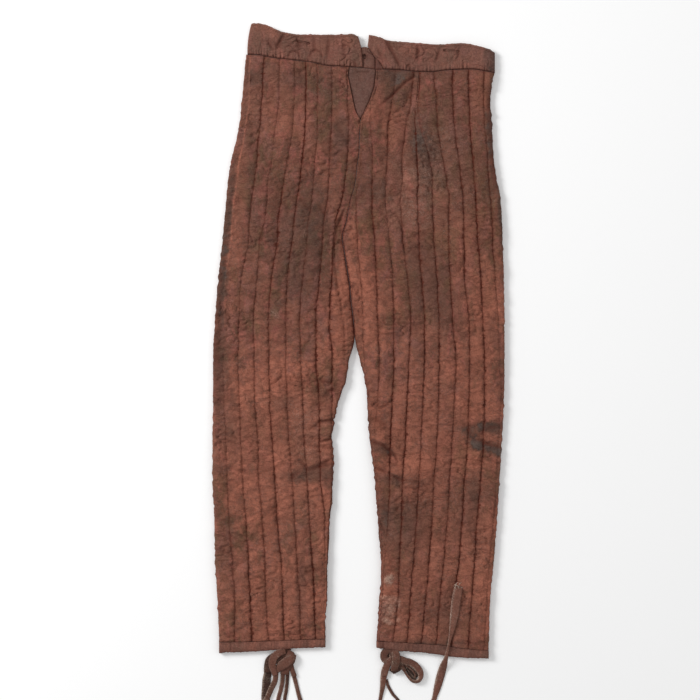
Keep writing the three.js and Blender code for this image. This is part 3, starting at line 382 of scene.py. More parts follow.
# Each patch: x and y of its middle, its half sizes, its turn in degrees and its strength.
# Darker, greyer colour: mostly the cloth's stains and dirt, with some painted shade, marked below.
SOIL_AND_SHADE = rows_of(
    Patch,
    (-98, 140, 50, 104, -8, 0.62), (-70, 208, 30, 46, 0, 0.34), (112, 96, 40, 76, 14, 0.66),
    (106, 296, 28, 42, 10, 0.5), (94, 334, 24, 28, 0, 0.42), (52, 424, 38, 18, 6, 0.75),
    # (214, 350) and (229, 214) darken the strip along the right leg's outer edge: partly the edge's own dark
    # cloth, partly painted shade where the panel rolls away at its side.
    (62, 398, 30, 16, 30, 0.5), (214, 350, 10, 70, 0, 1.15), (229, 214, 8, 84, 4, 0.95),
    (140, 300, 74, 100, 0, 0.38), (60, 200, 22, 40, 0, 0.35), (212, 264, 14, 40, 0, 0.4),
    (-26, 332, 18, 30, 0, 0.75), (4, 236, 46, 26, 10, 0.35), (34, 244, 14, 24, 0, 0.45),
    (-166, 430, 24, 24, 0, 0.2), (-120, 424, 60, 20, 0, 0.4), (-170, 330, 16, 60, 0, 0.35),
    (-70, 400, 50, 30, 0, 0.32), (-221, 96, 13, 76, 0, 0.95), (-222, -44, 13, 76, 0, 0.55),
    (-209, 206, 9, 80, -5, 0.9), (-168, 396, 24, 44, 0, 0.35), (-206, -150, 24, 26, 0, 0.3),
    (-60, -84, 20, 10, -30, 0.3), (-122, -98, 26, 14, 10, 0.35), (-86, -158, 18, 8, 30, 0.32),
    (-74, -213, 48, 14, 4, 0.8), (-112, -226, 36, 16, 0, 0.15), (-93, -400, 9, 60, 0, 0.45),
    (-44, -132, 10, 26, 0, 0.1), (-222, -204, 16, 10, 0, 0.4), (-92, -292, 34, 50, 0, 0.25),
    (-70, -372, 26, 16, 0, 0.35), (-210, -340, 16, 70, 0, 0.1), (214, -138, 30, 11, -4, 1.04),
    (180, -144, 20, 10, 6, 0.75), (162, -140, 14, 6, 10, 0.45), (188, -162, 16, 12, 0, 0.62),
    (211, -173, 30, 9.5, -18, 1.2), (204, -216, 11, 5, 0, 0.5), (226, -220, 6, 44, 0, 0.25),
    (222, -10, 10, 40, 14, 0.3), (204, 16, 18, 20, 30, 0.12), (184, -240, 13, 30, 0, 0.5),
    (209, -246, 13, 26, 0, 0.45), (178, -280, 30, 60, 0, 0.32), (35, -172, 21, 9, -14, 0.7),
    (52, -180, 10, 5, -30, 0.4), (52, -224, 25, 8, -10, 0.6), (62, -221, 7, 12, 0, 0.15),
    (98, -228, 24, 8, 0, 0.2), (24, -80, 8, 24, 0, 0.2), (66, -292, 40, 60, 0, 0.66),
    (40, -276, 14, 30, 0, 0.4), (120, -300, 60, 60, 0, 0.12), (146, -446, 28, 46, 0, 0.42),
    (110, -400, 60, 60, 0, 0.1), (-170, 200, 30, 120, 0, 0.24), (110, -490, 56, 14, 0, 0.8),
    (120, 430, 90, 12, 0, 0.3),
)
# Redder, lighter colour: mostly the cloth's own redder parts, with some painted light, marked below.
GLOW = rows_of(
    Patch,
    # (-26, 30) and (24, 50) are painted light that lifts the shade of the creases at the top of the inner
    # thighs.
    (-22, 92, 16, 84, -6, 1.0), (-26, 30, 28, 70, 0, 0.6), (24, 50, 28, 90, 0, 0.4),
    # (204, 50) and (208, -330) are painted light on the right leg's outer edge, on the side away from the
    # lamp.
    (204, 50, 32, 84, 0, 0.7), (208, -330, 20, 150, 0, 0.55), (-58, -400, 10, 96, 0, 0.65),
    (26, -120, 12, 76, 0, 0.6), (-176, -262, 56, 30, 0, 0.5), (-110, 502, 60, 14, 0, 0.35),
    (46, -400, 16, 14, 0, 0.7), (-150, -290, 50, 30, 0, 0.4), (90, -244, 40, 14, 0, 0.3),
    (4, 60, 60, 80, 0, 0.3), (-62, -36, 30, 34, 0, 0.5), (188, 0, 24, 50, 0, 0.35),
    (190, -400, 26, 100, 0, 0.35), (10, 70, 18, 90, 8, 0.8), (20, 372, 24, 26, 20, 0.4),
    (60, 342, 30, 28, 40, 0.5), (-106, 352, 44, 34, 0, 0.22), (-166, 372, 16, 44, 0, 0.5),
    (-192, 200, 12, 140, -4, 0.5), (-150, -60, 66, 60, 0, 0.62), (-70, -112, 36, 28, 0, 0.42),
    (-70, -166, 26, 14, 0, 0.55), (-130, -260, 80, 60, 0, 0.42), (-60, -300, 20, 70, 0, 0.42),
    (-136, -410, 70, 70, 0, 0.36), (206, -104, 30, 34, 0, 0.62), (188, -62, 40, 60, 0, 0.42),
    (214, -155, 22, 5, -6, 0.4), (190, -196, 34, 10, 0, 0.62), (40, -198, 24, 10, 0, 0.62),
    (62, -110, 44, 50, 0, 0.12), (90, -200, 40, 24, 0, 0.42), (46, -370, 14, 50, 0, 0.5),
    (196, 380, 16, 50, 0, 0.38), (222, 60, 14, 100, 0, 0.4), (164, 190, 26, 60, 0, 0.25),
    (170, -330, 20, 60, 0, 0.26), (206, -440, 10, 60, 0, 0.4), (-130, -170, 110, 150, 0, 0.75),
    (120, -170, 120, 180, 0, 0.7), (130, 180, 130, 170, 0, 0.3), (-130, -420, 110, 120, 0, 0.6),
    (120, -420, 100, 120, 0, 0.65), (-150, 500, 30, 20, 0, 0.5), (-24, 478, 24, 12, 0, 0.6),
    (-64, 470, 20, 14, 0, 0.35), (84, 466, 30, 10, 0, 0.55), (150, 440, 40, 6, 0, 0.4),
)
# Worn and paled, and where the painted highlights on the crinkles' ridges are stronger.
WEAR_AND_HIGHLIGHT = rows_of(
    Patch,
    (48, -381, 8, 9, 0, 1.25), (44, -411, 14, 4, 0, 0.6), (48, -430, 12, 18, 0, 0.42),
    (63, -420, 4, 9, 0, 0.6), (47, -450, 10, 4, -20, 0.75), (-132, 42, 10, 6, -20, 0.35),
    (62, -446, 4, 4, 0, 0.4), (92, 262, 44, 20, -12, 0.1), (140, 280, 80, 110, 0, 0.05),
    (86, 210, 44, 40, 0, 0.1), (-80, -150, 30, 60, 0, 0.12), (-98, 470, 40, 14, 0, 0.2),
)


# ---- Small mathematics --------------------------------------------------------------------------
def lerp(start: float, end: float, share: float) -> float:
    """Return the number a share of the way from start to end."""
    return start + (end - start) * share


def smoothstep(low: float, high: float, value: float) -> float:
    """Return a smooth rise from 0 at low to 1 at high."""
    share = min(1.0, max(0.0, (value - low) / (high - low)))
    return share * share * (3 - 2 * share)


def rounded(distance: float, radius: float) -> float:
    """Return the height share of a quarter-round edge."""
    share = min(1.0, max(0.0, distance / radius))
    return math.sqrt(1 - (1 - share) ** 2)


def ripple(x: float, y: float, z: float = 0.0) -> float:
    """Return smooth noise between about -1 and 1."""
    return noise.noise(Vector((x, y, z)))


def bell(away: float, width: float) -> float:
    """Return 1 where away is 0, falling smoothly to nothing about two widths off."""
    return math.exp(-((away / width) ** 2))


class Curve:
    """A smooth curve through a table's rows that never passes beyond them."""

    def __init__(self, points: Iterable[Point2]) -> None:
        """Keep the rows in order and work out the slope at each.

        Args:
            points: Place and value of each row, in either order.
        """
        rows = sorted(points)
        self._at = [row[0] for row in rows]
        self._value = [row[1] for row in rows]
        slopes = [(b[1] - a[1]) / (b[0] - a[0]) for a, b in zip(rows, rows[1:])]
        self._slope = []
        for i in range(len(rows)):
            before = slopes[max(0, i - 1)]
            after = slopes[min(len(slopes) - 1, i)]
            level = before * after <= 0
            self._slope.append(0.0 if level else 2 * before * after / (before + after))

    def __call__(self, at: float) -> float:
        """Return the curve's value.

        Args:
            at: Place along the table, held inside it.

        Returns:
            The value there.
        """
        at = min(self._at[-1], max(self._at[0], at))
        i = min(len(self._at) - 2, max(0, bisect.bisect_right(self._at, at) - 1))
        width = self._at[i + 1] - self._at[i]
        t = (at - self._at[i]) / width
        return (
            self._value[i] * (1 + 2 * t) * (1 - t) ** 2
            + self._value[i + 1] * t * t * (3 - 2 * t)
            + width * (self._slope[i] * t * (1 - t) ** 2 - self._slope[i + 1] * t * t * (1 - t))
        )


WAIST = Curve(WAIST_SEAM)
BAND_EDGE = Curve(BAND_TOP)
TURN = Curve(BAND_TURN)
SEAT_SEAM = Curve(SEAT_SEAM_STRENGTH)
CENTRE = Curve(FRONT_CENTRE)


def patches(table: Sequence[Patch], x: float, y: float) -> float:
    """Return the strength of a table of patches at a place."""
    return min(1.3, sum(patch.share(x, y) for patch in table))


# ---- Meshes -------------------------------------------------------------------------------------
@dataclass(frozen=True)
class Spot:
    """A point of a piece of cloth, in millimetres, and where it lies in the cut.

    Attributes:
        place: The point.
        across: Count of channels to it from the first edge, or share across the piece.
        line: How strongly the nearest line of quilting shows.
        fold: How much painted shade it gets, in creases, folds, gathers and seams.
        soil: How soiled the cloth is, and in some places how much painted shade it gets.
        glow: How red and light it is: mostly the cloth's own redder parts, with painted light in some
            places.
        worn: How worn and pale it is, and how strong its painted highlights are.
    """

    place: Vector
    across: float = 0.5
    line: float = 0.0
    fold: float = 0.0
    soil: float = 0.0
    glow: float = 0.0
    worn: float = 0.0


SPOT_LAYERS = ("across", "line", "fold", "soil", "glow", "worn")


def finish_object(name: str, bm: bmesh.types.BMesh, material: Material) -> Piece:
    """Turn a bmesh in millimetres into an object in the scene, in metres.

    Args:
        name: Name of the object.
        bm: The mesh, which is freed.
        material: The object's material.

    Returns:
        The new object.
    """
    bmesh.ops.scale(bm, vec=Vector((MM, MM, MM)), verts=bm.verts)
    bmesh.ops.recalc_face_normals(bm, faces=bm.faces)
    loose = sum(1 for edge in bm.edges if len(edge.link_faces) != 2)
    if loose:
        LOG.warning("%s has %d edges that don't join two faces", name, loose)
    mesh = bpy.data.meshes.new(name)
    bm.to_mesh(mesh)
    bm.free()
    mesh.materials.append(material)
    piece = bpy.data.objects.new(name, mesh)
    bpy.context.scene.collection.objects.link(piece)
    LOG.info("%s: %d faces", name, len(mesh.polygons))
    return piece


def cloth_shell(
    name: str,
    columns: int,
    rows: int,
    spot: Callable[[int, int], Spot],
    inside: float,
    material: Material,
    hole: Callable[[Vector], bool] | None = None,
) -> Piece:
    """Build a closed shell: a shaped outer grid, its edge, and a plain inside.

    Args:
        name: Name of the object.
        columns: Cells across.
        rows: Cells along.
        spot: Gives the outer point of a column and row.
        inside: Height of the plain inside, in millimetres.
        material: The object's material.
        hole: Says whether a cell with this middle is left open.

    Returns:
        The new object.
    """
    bm = bmesh.new()
    layers = [bm.verts.layers.float.new(layer) for layer in SPOT_LAYERS]
    bmesh.ops.create_grid(bm, x_segments=columns, y_segments=rows, size=0.5)
    for vert in bm.verts:
        column = round((vert.co.x + 0.5) * columns)
        row = round((vert.co.y + 0.5) * rows)
        at = spot(column, row)
        vert.co = at.place
        for layer, value in zip(layers, (at.across, at.line, at.fold, at.soil, at.glow, at.worn)):
            vert[layer] = value
    if hole:
        opened = [face for face in bm.faces if hole(face.calc_center_median())]
        bmesh.ops.delete(bm, geom=opened, context="FACES")
    for face in bm.faces:
        face.smooth = True
    edge = [e for e in bm.edges if e.is_boundary]
    walls = bmesh.ops.extrude_edge_only(bm, edges=edge)["geom"]
    for item in walls:
        if isinstance(item, bmesh.types.BMVert):
            item.co.z = inside
        elif isinstance(item, bmesh.types.BMFace):
            item.smooth = True
    rim = [e for e in bm.edges if e.is_boundary]
    bmesh.ops.triangle_fill(bm, edges=rim, use_beauty=False, use_dissolve=False)
    return finish_object(name, bm, material)


class Strands:
    """Lengths of thread or tape, each a closed tube, in one mesh."""

    def __init__(self) -> None:
        """Start an empty mesh."""
        self._bm = bmesh.new()
        self._layers = {layer: self._bm.verts.layers.float.new(layer) for layer in SPOT_LAYERS}

    def _skin(self, rings: Sequence[Sequence[bmesh.types.BMVert]]) -> None:
        """Join rings of points into a closed tube.

        Args:
            rings: The rings, from one end to the other.
        """
        for low, high in zip(rings, rings[1:]):
            for k in range(len(low)):
                after = (k + 1) % len(low)
                self._bm.faces.new((low[k], low[after], high[after], high[k])).smooth = True
        self._bm.faces.new(rings[0])
        self._bm.faces.new(rings[-1])

    def finish(self, name: str, material: Material) -> Piece:
        """Make the object from the lengths laid so far."""
        return finish_object(name, self._bm, material)


class ThreadPen(Strands):
    """Lays short stitches of thread, each a low rounded bar."""

    SIDES = 5
    SHORTEST = 0.2
    # Rings of a stitch: share of its length, share of its width, lift in widths.
    PROFILE = ((0.0, 0.35, -0.35), (0.25, 1.0, 0.1), (0.75, 1.0, 0.1), (1.0, 0.35, -0.35))

    def bar(self, start: Vector, end: Vector, width: float) -> None:
        """Lay one stitch.

        Args:
            start: Where the thread comes up, in millimetres.
            end: Where it goes down.
            width: Thickness of the thread.
        """
        run = end - start
        if run.length < self.SHORTEST:
            return
        across = Vector((-run.y, run.x, 0)).normalized()
        rings = []
        for share, size, lift in self.PROFILE:
            middle = start + run * share + Vector((0, 0, lift * width))
            ring = []
            for k in range(self.SIDES):
                turn = math.tau * k / self.SIDES
                offset = across * math.cos(turn) + Vector((0, 0, math.sin(turn)))
                ring.append(self._bm.verts.new(middle + offset * width * size / 2))
            rings.append(ring)
        self._skin(rings)

    def seam(
        self,
        path: Callable[[float], Vector],
        length: float,
        pitch: float = STITCH_PITCH,
        stitch: float = STITCH_LENGTH,
        width: float = STITCH_WIDTH,
    ) -> None:
        """Lay a row of stitches along a path.

        Args:
            path: Gives the point at a distance along it, in millimetres.
            length: Length of the row.
            pitch: From one stitch to the next.
            stitch: Length of a stitch.
            width: Thickness of the thread.
        """
        count = max(1, int(length / pitch))
        for i in range(count):
            begin = i * pitch + 0.35 * ripple(i * 1.7, length)
            self.bar(path(begin), path(min(length, begin + stitch)), width)


# ---- Materials ----------------------------------------------------------------------------------
WARP_SCALE = 370.0
WEFT_SCALE = 340.0
HAIR_TURNS = (-24.0, 14.0, 68.0)  # ways in which the rubbed-up hairs lie, in degrees


class Graph:
    """Shorthand for building one node tree."""

    def __init__(self, tree: bpy.types.NodeTree) -> None:
        """Wrap a tree."""
        self.tree = tree

    def node(
        self, kind: str, inputs: dict[str | int, object] | None = None, **settings: object
    ) -> bpy.types.Node:
        """Add a node.

        Args:
            kind: The node's type name.
            inputs: Value or source socket for each input.
            settings: Properties of the node.

        Returns:
            The new node.
        """
        node = self.tree.nodes.new(kind)
        for key, value in settings.items():
            setattr(node, key, value)
        for key, value in (inputs or {}).items():
            if isinstance(value, Socket):
                self.tree.links.new(value, node.inputs[key])
            else:
                node.inputs[key].default_value = value
        return node

    def math(self, operation: str, first: object, second: object = 0.0, clamp: bool = False) -> Socket:
        """Add a Math node."""
        node = self.node("ShaderNodeMath", {0: first, 1: second}, operation=operation, use_clamp=clamp)
        return node.outputs[0]

    def plus(self, first: object, second: object) -> Socket:
        """Add two values."""
        return self.math("ADD", first, second)

    def less(self, first: object, second: object) -> Socket:
        """Take the second value from the first."""
        return self.math("SUBTRACT", first, second)

    def times(self, first: object, second: object, clamp: bool = False) -> Socket:
        """Multiply two values."""
        return self.math("MULTIPLY", first, second, clamp)

    def most(self, first: object, second: object) -> Socket:
        """Take the larger of two values."""
        return self.math("MAXIMUM", first, second)

    def size(self, value: object) -> Socket:
        """Take a value without its sign."""
        return self.math("ABSOLUTE", value)

    def blend(self, share: object, first: object, second: object, kind: str = "MIX") -> Socket:
        """Add a Mix node for colours.

        Args:
            share: Share of the second colour.
            first: First colour.
            second: Second colour.
            kind: Blend type.

        Returns:
            The mixed colour.
        """
        node = self.node("ShaderNodeMix", data_type="RGBA", blend_type=kind)
        for name, value in (("Factor_Float", share), ("A_Color", first), ("B_Color", second)):
            socket = next(s for s in node.inputs if s.identifier == name)
            if isinstance(value, Socket):
                self.tree.links.new(value, socket)
            else:
                socket.default_value = value
        return next(s for s in node.outputs if s.identifier == "Result_Color")

    def noise(
        self, vector: object, scale: float, detail: float = 4.0, rough: float = 0.55, twist: float = 0.0
    ) -> Socket:
        """Add a Noise Texture node.

        Args:
            vector: Coordinates.
            scale: Scale, per metre.
            detail: Levels of detail.
            rough: Roughness of the detail.
            twist: Distortion.

        Returns:
            Its value.
        """
        return self.node(
            "ShaderNodeTexNoise",
            {"Vector": vector, "Scale": scale, "Detail": detail, "Roughness": rough, "Distortion": twist},
        ).outputs[0]

    def ramp(self, value: object, low: float, high: float) -> Socket:
        """Rise smoothly from 0 to 1 between two values.

        Args:
            value: The value that is mapped.
            low: Where the rise starts.
            high: Where it ends.

        Returns:
            The mapped value.
        """
        return self.node(
            "ShaderNodeMapRange",
            {"Value": value, "From Min": low, "From Max": high},
            interpolation_type="SMOOTHSTEP",
        ).outputs[0]

    def mapped(self, value: object, source: Point2, target: Point2) -> Socket:
        """Map a range of values evenly onto another."""
        ends = {"From Min": source[0], "From Max": source[1], "To Min": target[0], "To Max": target[1]}
        return self.node("ShaderNodeMapRange", {"Value": value, **ends}).outputs[0]

    def stretch(self, vector: object, scale: Sequence[float], turn: float = 0.0) -> Socket:
        """Turn coordinates about z, then scale them by an amount for each axis."""
        turned = self.node("ShaderNodeMapping", {"Vector": vector, "Rotation": (0, 0, math.radians(turn))})
        return self.node("ShaderNodeMapping", {"Vector": turned.outputs[0], "Scale": scale}).outputs[0]

    def attribute(self, name: str) -> Socket:
        """Read a number stored on the mesh's points."""
        return self.node("ShaderNodeAttribute", attribute_name=name).outputs["Fac"]


def shader_group(
    name: str, outputs: Sequence[str], build: Callable[[Graph, Socket], dict[str, Socket]]
) -> bpy.types.NodeTree:
    """Make a node group with one vector input.

    Args:
        name: Name of the group.
        outputs: Name of each output, which is a number.
        build: Fills the group and gives the socket for each output.

    Returns:
        The group.
    """
    tree = bpy.data.node_groups.new(name, "ShaderNodeTree")
    tree.interface.new_socket("Vector", in_out="INPUT", socket_type="NodeSocketVector")
    for output in outputs:
        tree.interface.new_socket(output, in_out="OUTPUT", socket_type="NodeSocketFloat")
    graph = Graph(tree)
    source = graph.node("NodeGroupInput").outputs["Vector"]
    sink = graph.node("NodeGroupOutput")
    for output, socket in build(graph, source).items():
        tree.links.new(socket, sink.inputs[output])
    return tree


def build_weave(graph: Graph, vector: Socket) -> dict[str, Socket]:
    """Fill the group for a plain weave: its height and its threads' own shades.

    Args:
        graph: The group's tree.
        vector: Coordinates in metres.

    Returns:
        Sockets for the group's outputs.
    """

    def threads(direction: str, scale: float) -> Socket:
        """Return the ridges of the threads that run one way."""
        inputs = {"Vector": vector, "Scale": scale, "Distortion": 1.2, "Detail": 1.0, "Detail Scale": 2.0}
        return graph.node("ShaderNodeTexWave", inputs, bands_direction=direction).outputs[1]

    height = graph.times(threads("X", WARP_SCALE), threads("Y", WEFT_SCALE))
    slubs = graph.noise(graph.stretch(vector, (1.0, 0.12, 1.0)), 900.0, 2.0)
    slubs_across = graph.noise(graph.stretch(vector, (0.12, 1.0, 1.0)), 900.0, 2.0)
    shade = graph.times(graph.plus(slubs, slubs_across), 0.5)
    return {"Height": height, "Shade": shade}


def build_mottle(graph: Graph, vector: Socket) -> dict[str, Socket]:
    """Fill the group for uneven old dye: clouds, tints, blotches, rosy parts, speckle and rubbed-up hairs.

    Args:
        graph: The group's tree.
        vector: Coordinates in metres.

    Returns:
        Sockets for the group's outputs.
    """
    along = graph.stretch(vector, (1.0, 0.55, 1.0))
    clouds = graph.ramp(graph.noise(vector, 7.0, 6.0, 0.62, 0.4), 0.34, 0.68)
    tint = graph.ramp(graph.noise(along, 21.0, 7.0, 0.68, 0.8), 0.34, 0.66)
    blotches = graph.ramp(graph.noise(along, 58.0, 7.0, 0.7, 0.6), 0.3, 0.72)
    speckle = graph.ramp(graph.noise(vector, 480.0, 4.0, 0.75), 0.3, 0.7)
    fibres = []
    for turn in HAIR_TURNS:
        fibre = graph.noise(graph.stretch(vector, (0.2, 1.0, 0.5), turn), 620.0 + turn, 3.0, 0.6, 1.5)
        fibres.append(graph.ramp(fibre, 0.52, 0.72))
    hairs = graph.most(graph.most(fibres[0], fibres[1]), fibres[2])
    rose = graph.ramp(graph.noise(along, 37.0, 5.0, 0.62, 1.0), 0.5, 0.66)
    return {
        "Clouds": clouds,
        "Tint": tint,
        "Blotches": blotches,
        "Rose": rose,
        "Speckle": speckle,
        "Hairs": hairs,
    }


def build_crinkle(graph: Graph, vector: Socket) -> dict[str, Socket]:
    """Fill the group for the cloth's small crinkles, most of which run across the legs.

    Args:
        graph: The group's tree.
        vector: Coordinates in metres.

    Returns:
        Sockets for the group's outputs.
    """
    across = graph.noise(graph.stretch(vector, (0.6, 1.0, 0.6)), 66.0, 5.0, 0.6, 0.6)
    any_way = graph.noise(vector, 240.0, 5.0, 0.62, 0.5)
    fold = graph.size(graph.less(across, 0.5))
    sharp = graph.ramp(fold, 0.0, 0.05)
    height = graph.plus(graph.times(sharp, 0.55), graph.times(any_way, 0.6))
    thin = graph.noise(graph.stretch(vector, (0.75, 1.0, 0.6), 20.0), 135.0, 4.0, 0.6, 1.4)
    lit = graph.less(1.0, graph.ramp(graph.size(graph.less(thin, 0.5)), 0.004, 0.03))
    ridges = graph.times(lit, graph.ramp(graph.noise(vector, 24.0, 3.0), 0.4, 0.62))
    height = graph.plus(height, graph.times(ridges, 0.4))
    # Folds marks the crinkles' valleys, which the cloths darken as painted shade; Ridges marks thin crests,
    # which they lighten as painted highlights.
    return {"Height": height, "Folds": graph.less(1.0, sharp), "Ridges": ridges}


@dataclass(frozen=True)
class ClothLook:
    """Colours of a cloth, as linear red, green and blue, and how it is finished."""

    name: str
    base: Colour
    deep: Colour
    red: Colour
    rose: Colour
    olive: Colour
    glow: Colour
    soil: Colour
    worn: Colour
    stain_and_shade: Colour
    line: Colour
    stitched: bool
    crinkle: float
    roughness: float = 0.9


@dataclass(frozen=True)
class Groups:
    """The shader groups that the cloths share."""

    weave: bpy.types.NodeTree
    mottle: bpy.types.NodeTree
    crinkle: bpy.types.NodeTree

    @classmethod
    def build(cls) -> Groups:
        """Make the groups.

        Returns:
            The groups.
        """
        return cls(
            shader_group("weave", ("Height", "Shade"), build_weave),
            shader_group("mottle", ("Clouds", "Tint", "Blotches", "Rose", "Speckle", "Hairs"), build_mottle),
            shader_group("crinkle", ("Height", "Folds", "Ridges"), build_crinkle),
        )


def cloth_material(look: ClothLook, groups: Groups) -> Material:
    """Make a cloth's material.

    Args:
        look: Its colours and finish.
        groups: The shared shader groups.

    Returns:
        The material.
    """
    material = bpy.data.materials.new(look.name)
    material.use_nodes = True
    graph = Graph(material.node_tree)
    shader = material.node_tree.nodes["Principled BSDF"]
    place = graph.node("ShaderNodeTexCoord").outputs["Object"]
    weave = graph.node("ShaderNodeGroup", node_tree=groups.weave)
    mottle = graph.node("ShaderNodeGroup", node_tree=groups.mottle)
    crinkle = graph.node("ShaderNodeGroup", node_tree=groups.crinkle)
    for group in (weave, mottle, crinkle):
        material.node_tree.links.new(place, group.inputs["Vector"])

    colour = graph.blend(mottle.outputs["Clouds"], (*look.deep, 1), (*look.base, 1))
    olive = graph.times(graph.ramp(mottle.outputs["Tint"], 0.55, 0.0), 0.75)
    colour = graph.blend(olive, colour, (*look.olive, 1))
    red = graph.times(graph.ramp(mottle.outputs["Blotches"], 0.45, 1.0), 0.7)
    colour = graph.blend(red, colour, (*look.red, 1))
    colour = graph.blend(graph.times(mottle.outputs["Rose"], 0.55), colour, (*look.rose, 1))
    glow = graph.times(graph.attribute("glow"), 0.85, clamp=True)
    glow = graph.times(glow, graph.plus(graph.times(mottle.outputs["Blotches"], 0.5), 0.7), clamp=True)
    colour = graph.blend(glow, colour, (*look.glow, 1))
    # Soil and stains darken and grey the colour; the same attribute also carries painted shade on some
    # pieces.
    ragged = graph.plus(graph.times(mottle.outputs["Blotches"], 0.5), 0.6)
    soil = graph.times(graph.attribute("soil"), ragged, clamp=True)
    colour = graph.blend(soil, colour, (*look.soil, 1))
    # Where it runs high, real stains and the deepest painted shade alike take the stain colour.
    stain_and_shade = graph.times(graph.ramp(graph.attribute("soil"), 0.9, 1.3), 0.8)
    colour = graph.blend(stain_and_shade, colour, (*look.stain_and_shade, 1))
    # Worn, paler cloth, and the painted highlights on the tapes' lit edges.
    worn = graph.times(graph.attribute("worn"), graph.plus(mottle.outputs["Speckle"], 0.1), clamp=True)
    colour = graph.blend(worn, colour, (*look.worn, 1))
    grain = graph.plus(mottle.outputs["Speckle"], graph.times(mottle.outputs["Hairs"], 0.35))
    grain = graph.plus(grain, graph.times(mottle.outputs["Tint"], 0.4))
    grain = graph.plus(grain, graph.times(weave.outputs["Shade"], 0.6))
    shade = graph.mapped(grain, (0.0, 2.2), (0.5, 1.6))
    if look.stitched:
        # Each channel has a tone of its own, which changes slowly down the leg.
        level = graph.node("ShaderNodeSeparateXYZ", {0: place}).outputs["Y"]
        channel = graph.times(graph.math("FLOOR", graph.attribute("across")), 3.7)
        spot = graph.node("ShaderNodeCombineXYZ", {0: channel, 1: graph.times(level, 9.0)}).outputs[0]
        tone = graph.mapped(graph.noise(spot, 1.0, 2.0), (0.25, 0.75), (0.82, 1.18))
        shade = graph.times(shade, tone)
    grey = graph.node("ShaderNodeCombineColor", {0: shade, 1: shade, 2: shade}).outputs[0]
    colour = graph.blend(1.0, colour, grey, "MULTIPLY")
    # Painted shade: the crinkles' valleys and the creases, gathers and seams of the fold attribute are
    # darkened towards this colour.
    fold_shade_colour = tuple(0.42 * c * k for c, k in zip(look.base, (1.1, 0.75, 0.7))) + (1,)
    # Painted highlights: thin light lines on the crinkles' ridges, stronger on worn and lit parts.
    lit = graph.plus(graph.times(graph.attribute("worn"), 3.0), 0.24)
    colour = graph.blend(graph.times(crinkle.outputs["Ridges"], lit, clamp=True), colour, (*look.worn, 1))
    fold_shade = graph.times(crinkle.outputs["Folds"], 0.22)
    fold_shade = graph.most(fold_shade, graph.times(graph.attribute("fold"), 0.55, clamp=True))
    colour = graph.blend(fold_shade, colour, fold_shade_colour)
    if look.stitched:
        part = graph.math("FRACT", graph.plus(graph.attribute("across"), 0.5))
        away = graph.size(graph.less(part, 0.5))
        barbs = graph.noise(graph.stretch(place, (0.22, 1.0, 1.0)), 230.0, 2.0, 0.6, 0.6)
        away = graph.less(away, graph.times(graph.ramp(barbs, 0.54, 0.64), 0.08))
        # The line of quilting is darkened: a thin core, partly the stitched line's own dark and partly
        # painted shade in its valley, and a wide soft band of painted shade either side.
        line = graph.less(1.0, graph.ramp(away, 0.016, 0.1))
        uneven = graph.ramp(graph.noise(place, 95.0, 4.0), 0.3, 0.62)
        line = graph.times(line, graph.plus(graph.times(uneven, 0.65), 0.5))
        valley_shade = graph.times(graph.less(1.0, graph.ramp(away, 0.03, 0.22)), 0.28)
        line = graph.most(line, valley_shade)
        line = graph.times(line, graph.attribute("line"), clamp=True)
        colour = graph.blend(line, colour, (*look.line, 1))
    material.node_tree.links.new(colour, shader.inputs["Base Color"])

    creased = {"Height": crinkle.outputs["Height"], "Strength": 1.0, "Distance": look.crinkle * MM}
    relief = graph.node("ShaderNodeBump", creased).outputs[0]
    woven = {"Height": weave.outputs["Height"], "Strength": 0.5, "Distance": 0.12 * MM, "Normal": relief}
    threads = graph.node("ShaderNodeBump", woven).outputs[0]
    material.node_tree.links.new(threads, shader.inputs["Normal"])
    shader.inputs["Roughness"].default_value = look.roughness
    shader.inputs["Specular IOR Level"].default_value = 0.12
    shader.inputs["Sheen Weight"].default_value = 0.05
    shader.inputs["Sheen Roughness"].default_value = 0.5
    return material


QUILTED = ClothLook(
    "quilted_cloth",
    base=(0.196, 0.075, 0.049),
    deep=(0.140, 0.058, 0.039),
    red=(0.270, 0.087, 0.068),
    rose=(0.222, 0.092, 0.074),
    olive=(0.126, 0.068, 0.037),
    glow=(0.305, 0.108, 0.069),
    soil=(0.082, 0.046, 0.034),
    worn=(0.40, 0.25, 0.19),
    stain_and_shade=(0.094, 0.066, 0.056),
    line=(0.088, 0.019, 0.010),
    stitched=True,
    crinkle=0.9,
)
PLAIN = ClothLook(
    "plain_cloth",
    base=(0.186, 0.080, 0.057),
    deep=(0.146, 0.067, 0.049),
    red=(0.225, 0.083, 0.062),
    rose=(0.215, 0.095, 0.077),
    olive=(0.135, 0.070, 0.050),
    glow=(0.262, 0.098, 0.066),
    soil=(0.092, 0.052, 0.043),
    worn=(0.36, 0.24, 0.18),
    stain_and_shade=(0.080, 0.056, 0.046),
    line=(0.088, 0.019, 0.010),
    stitched=False,
    crinkle=0.45,
)
TAPE = ClothLook(
    "tie_tape",
    base=(0.170, 0.072, 0.050),
    deep=(0.118, 0.051, 0.036),
    red=(0.180, 0.069, 0.048),
    rose=(0.190, 0.084, 0.064),
    olive=(0.107, 0.056, 0.038),
    glow=(0.235, 0.100, 0.070),
    soil=(0.042, 0.021, 0.016),
    worn=(0.52, 0.40, 0.32),
    stain_and_shade=(0.032, 0.018, 0.013),
    line=(0.088, 0.019, 0.010),
    stitched=False,
    crinkle=0.3,
)
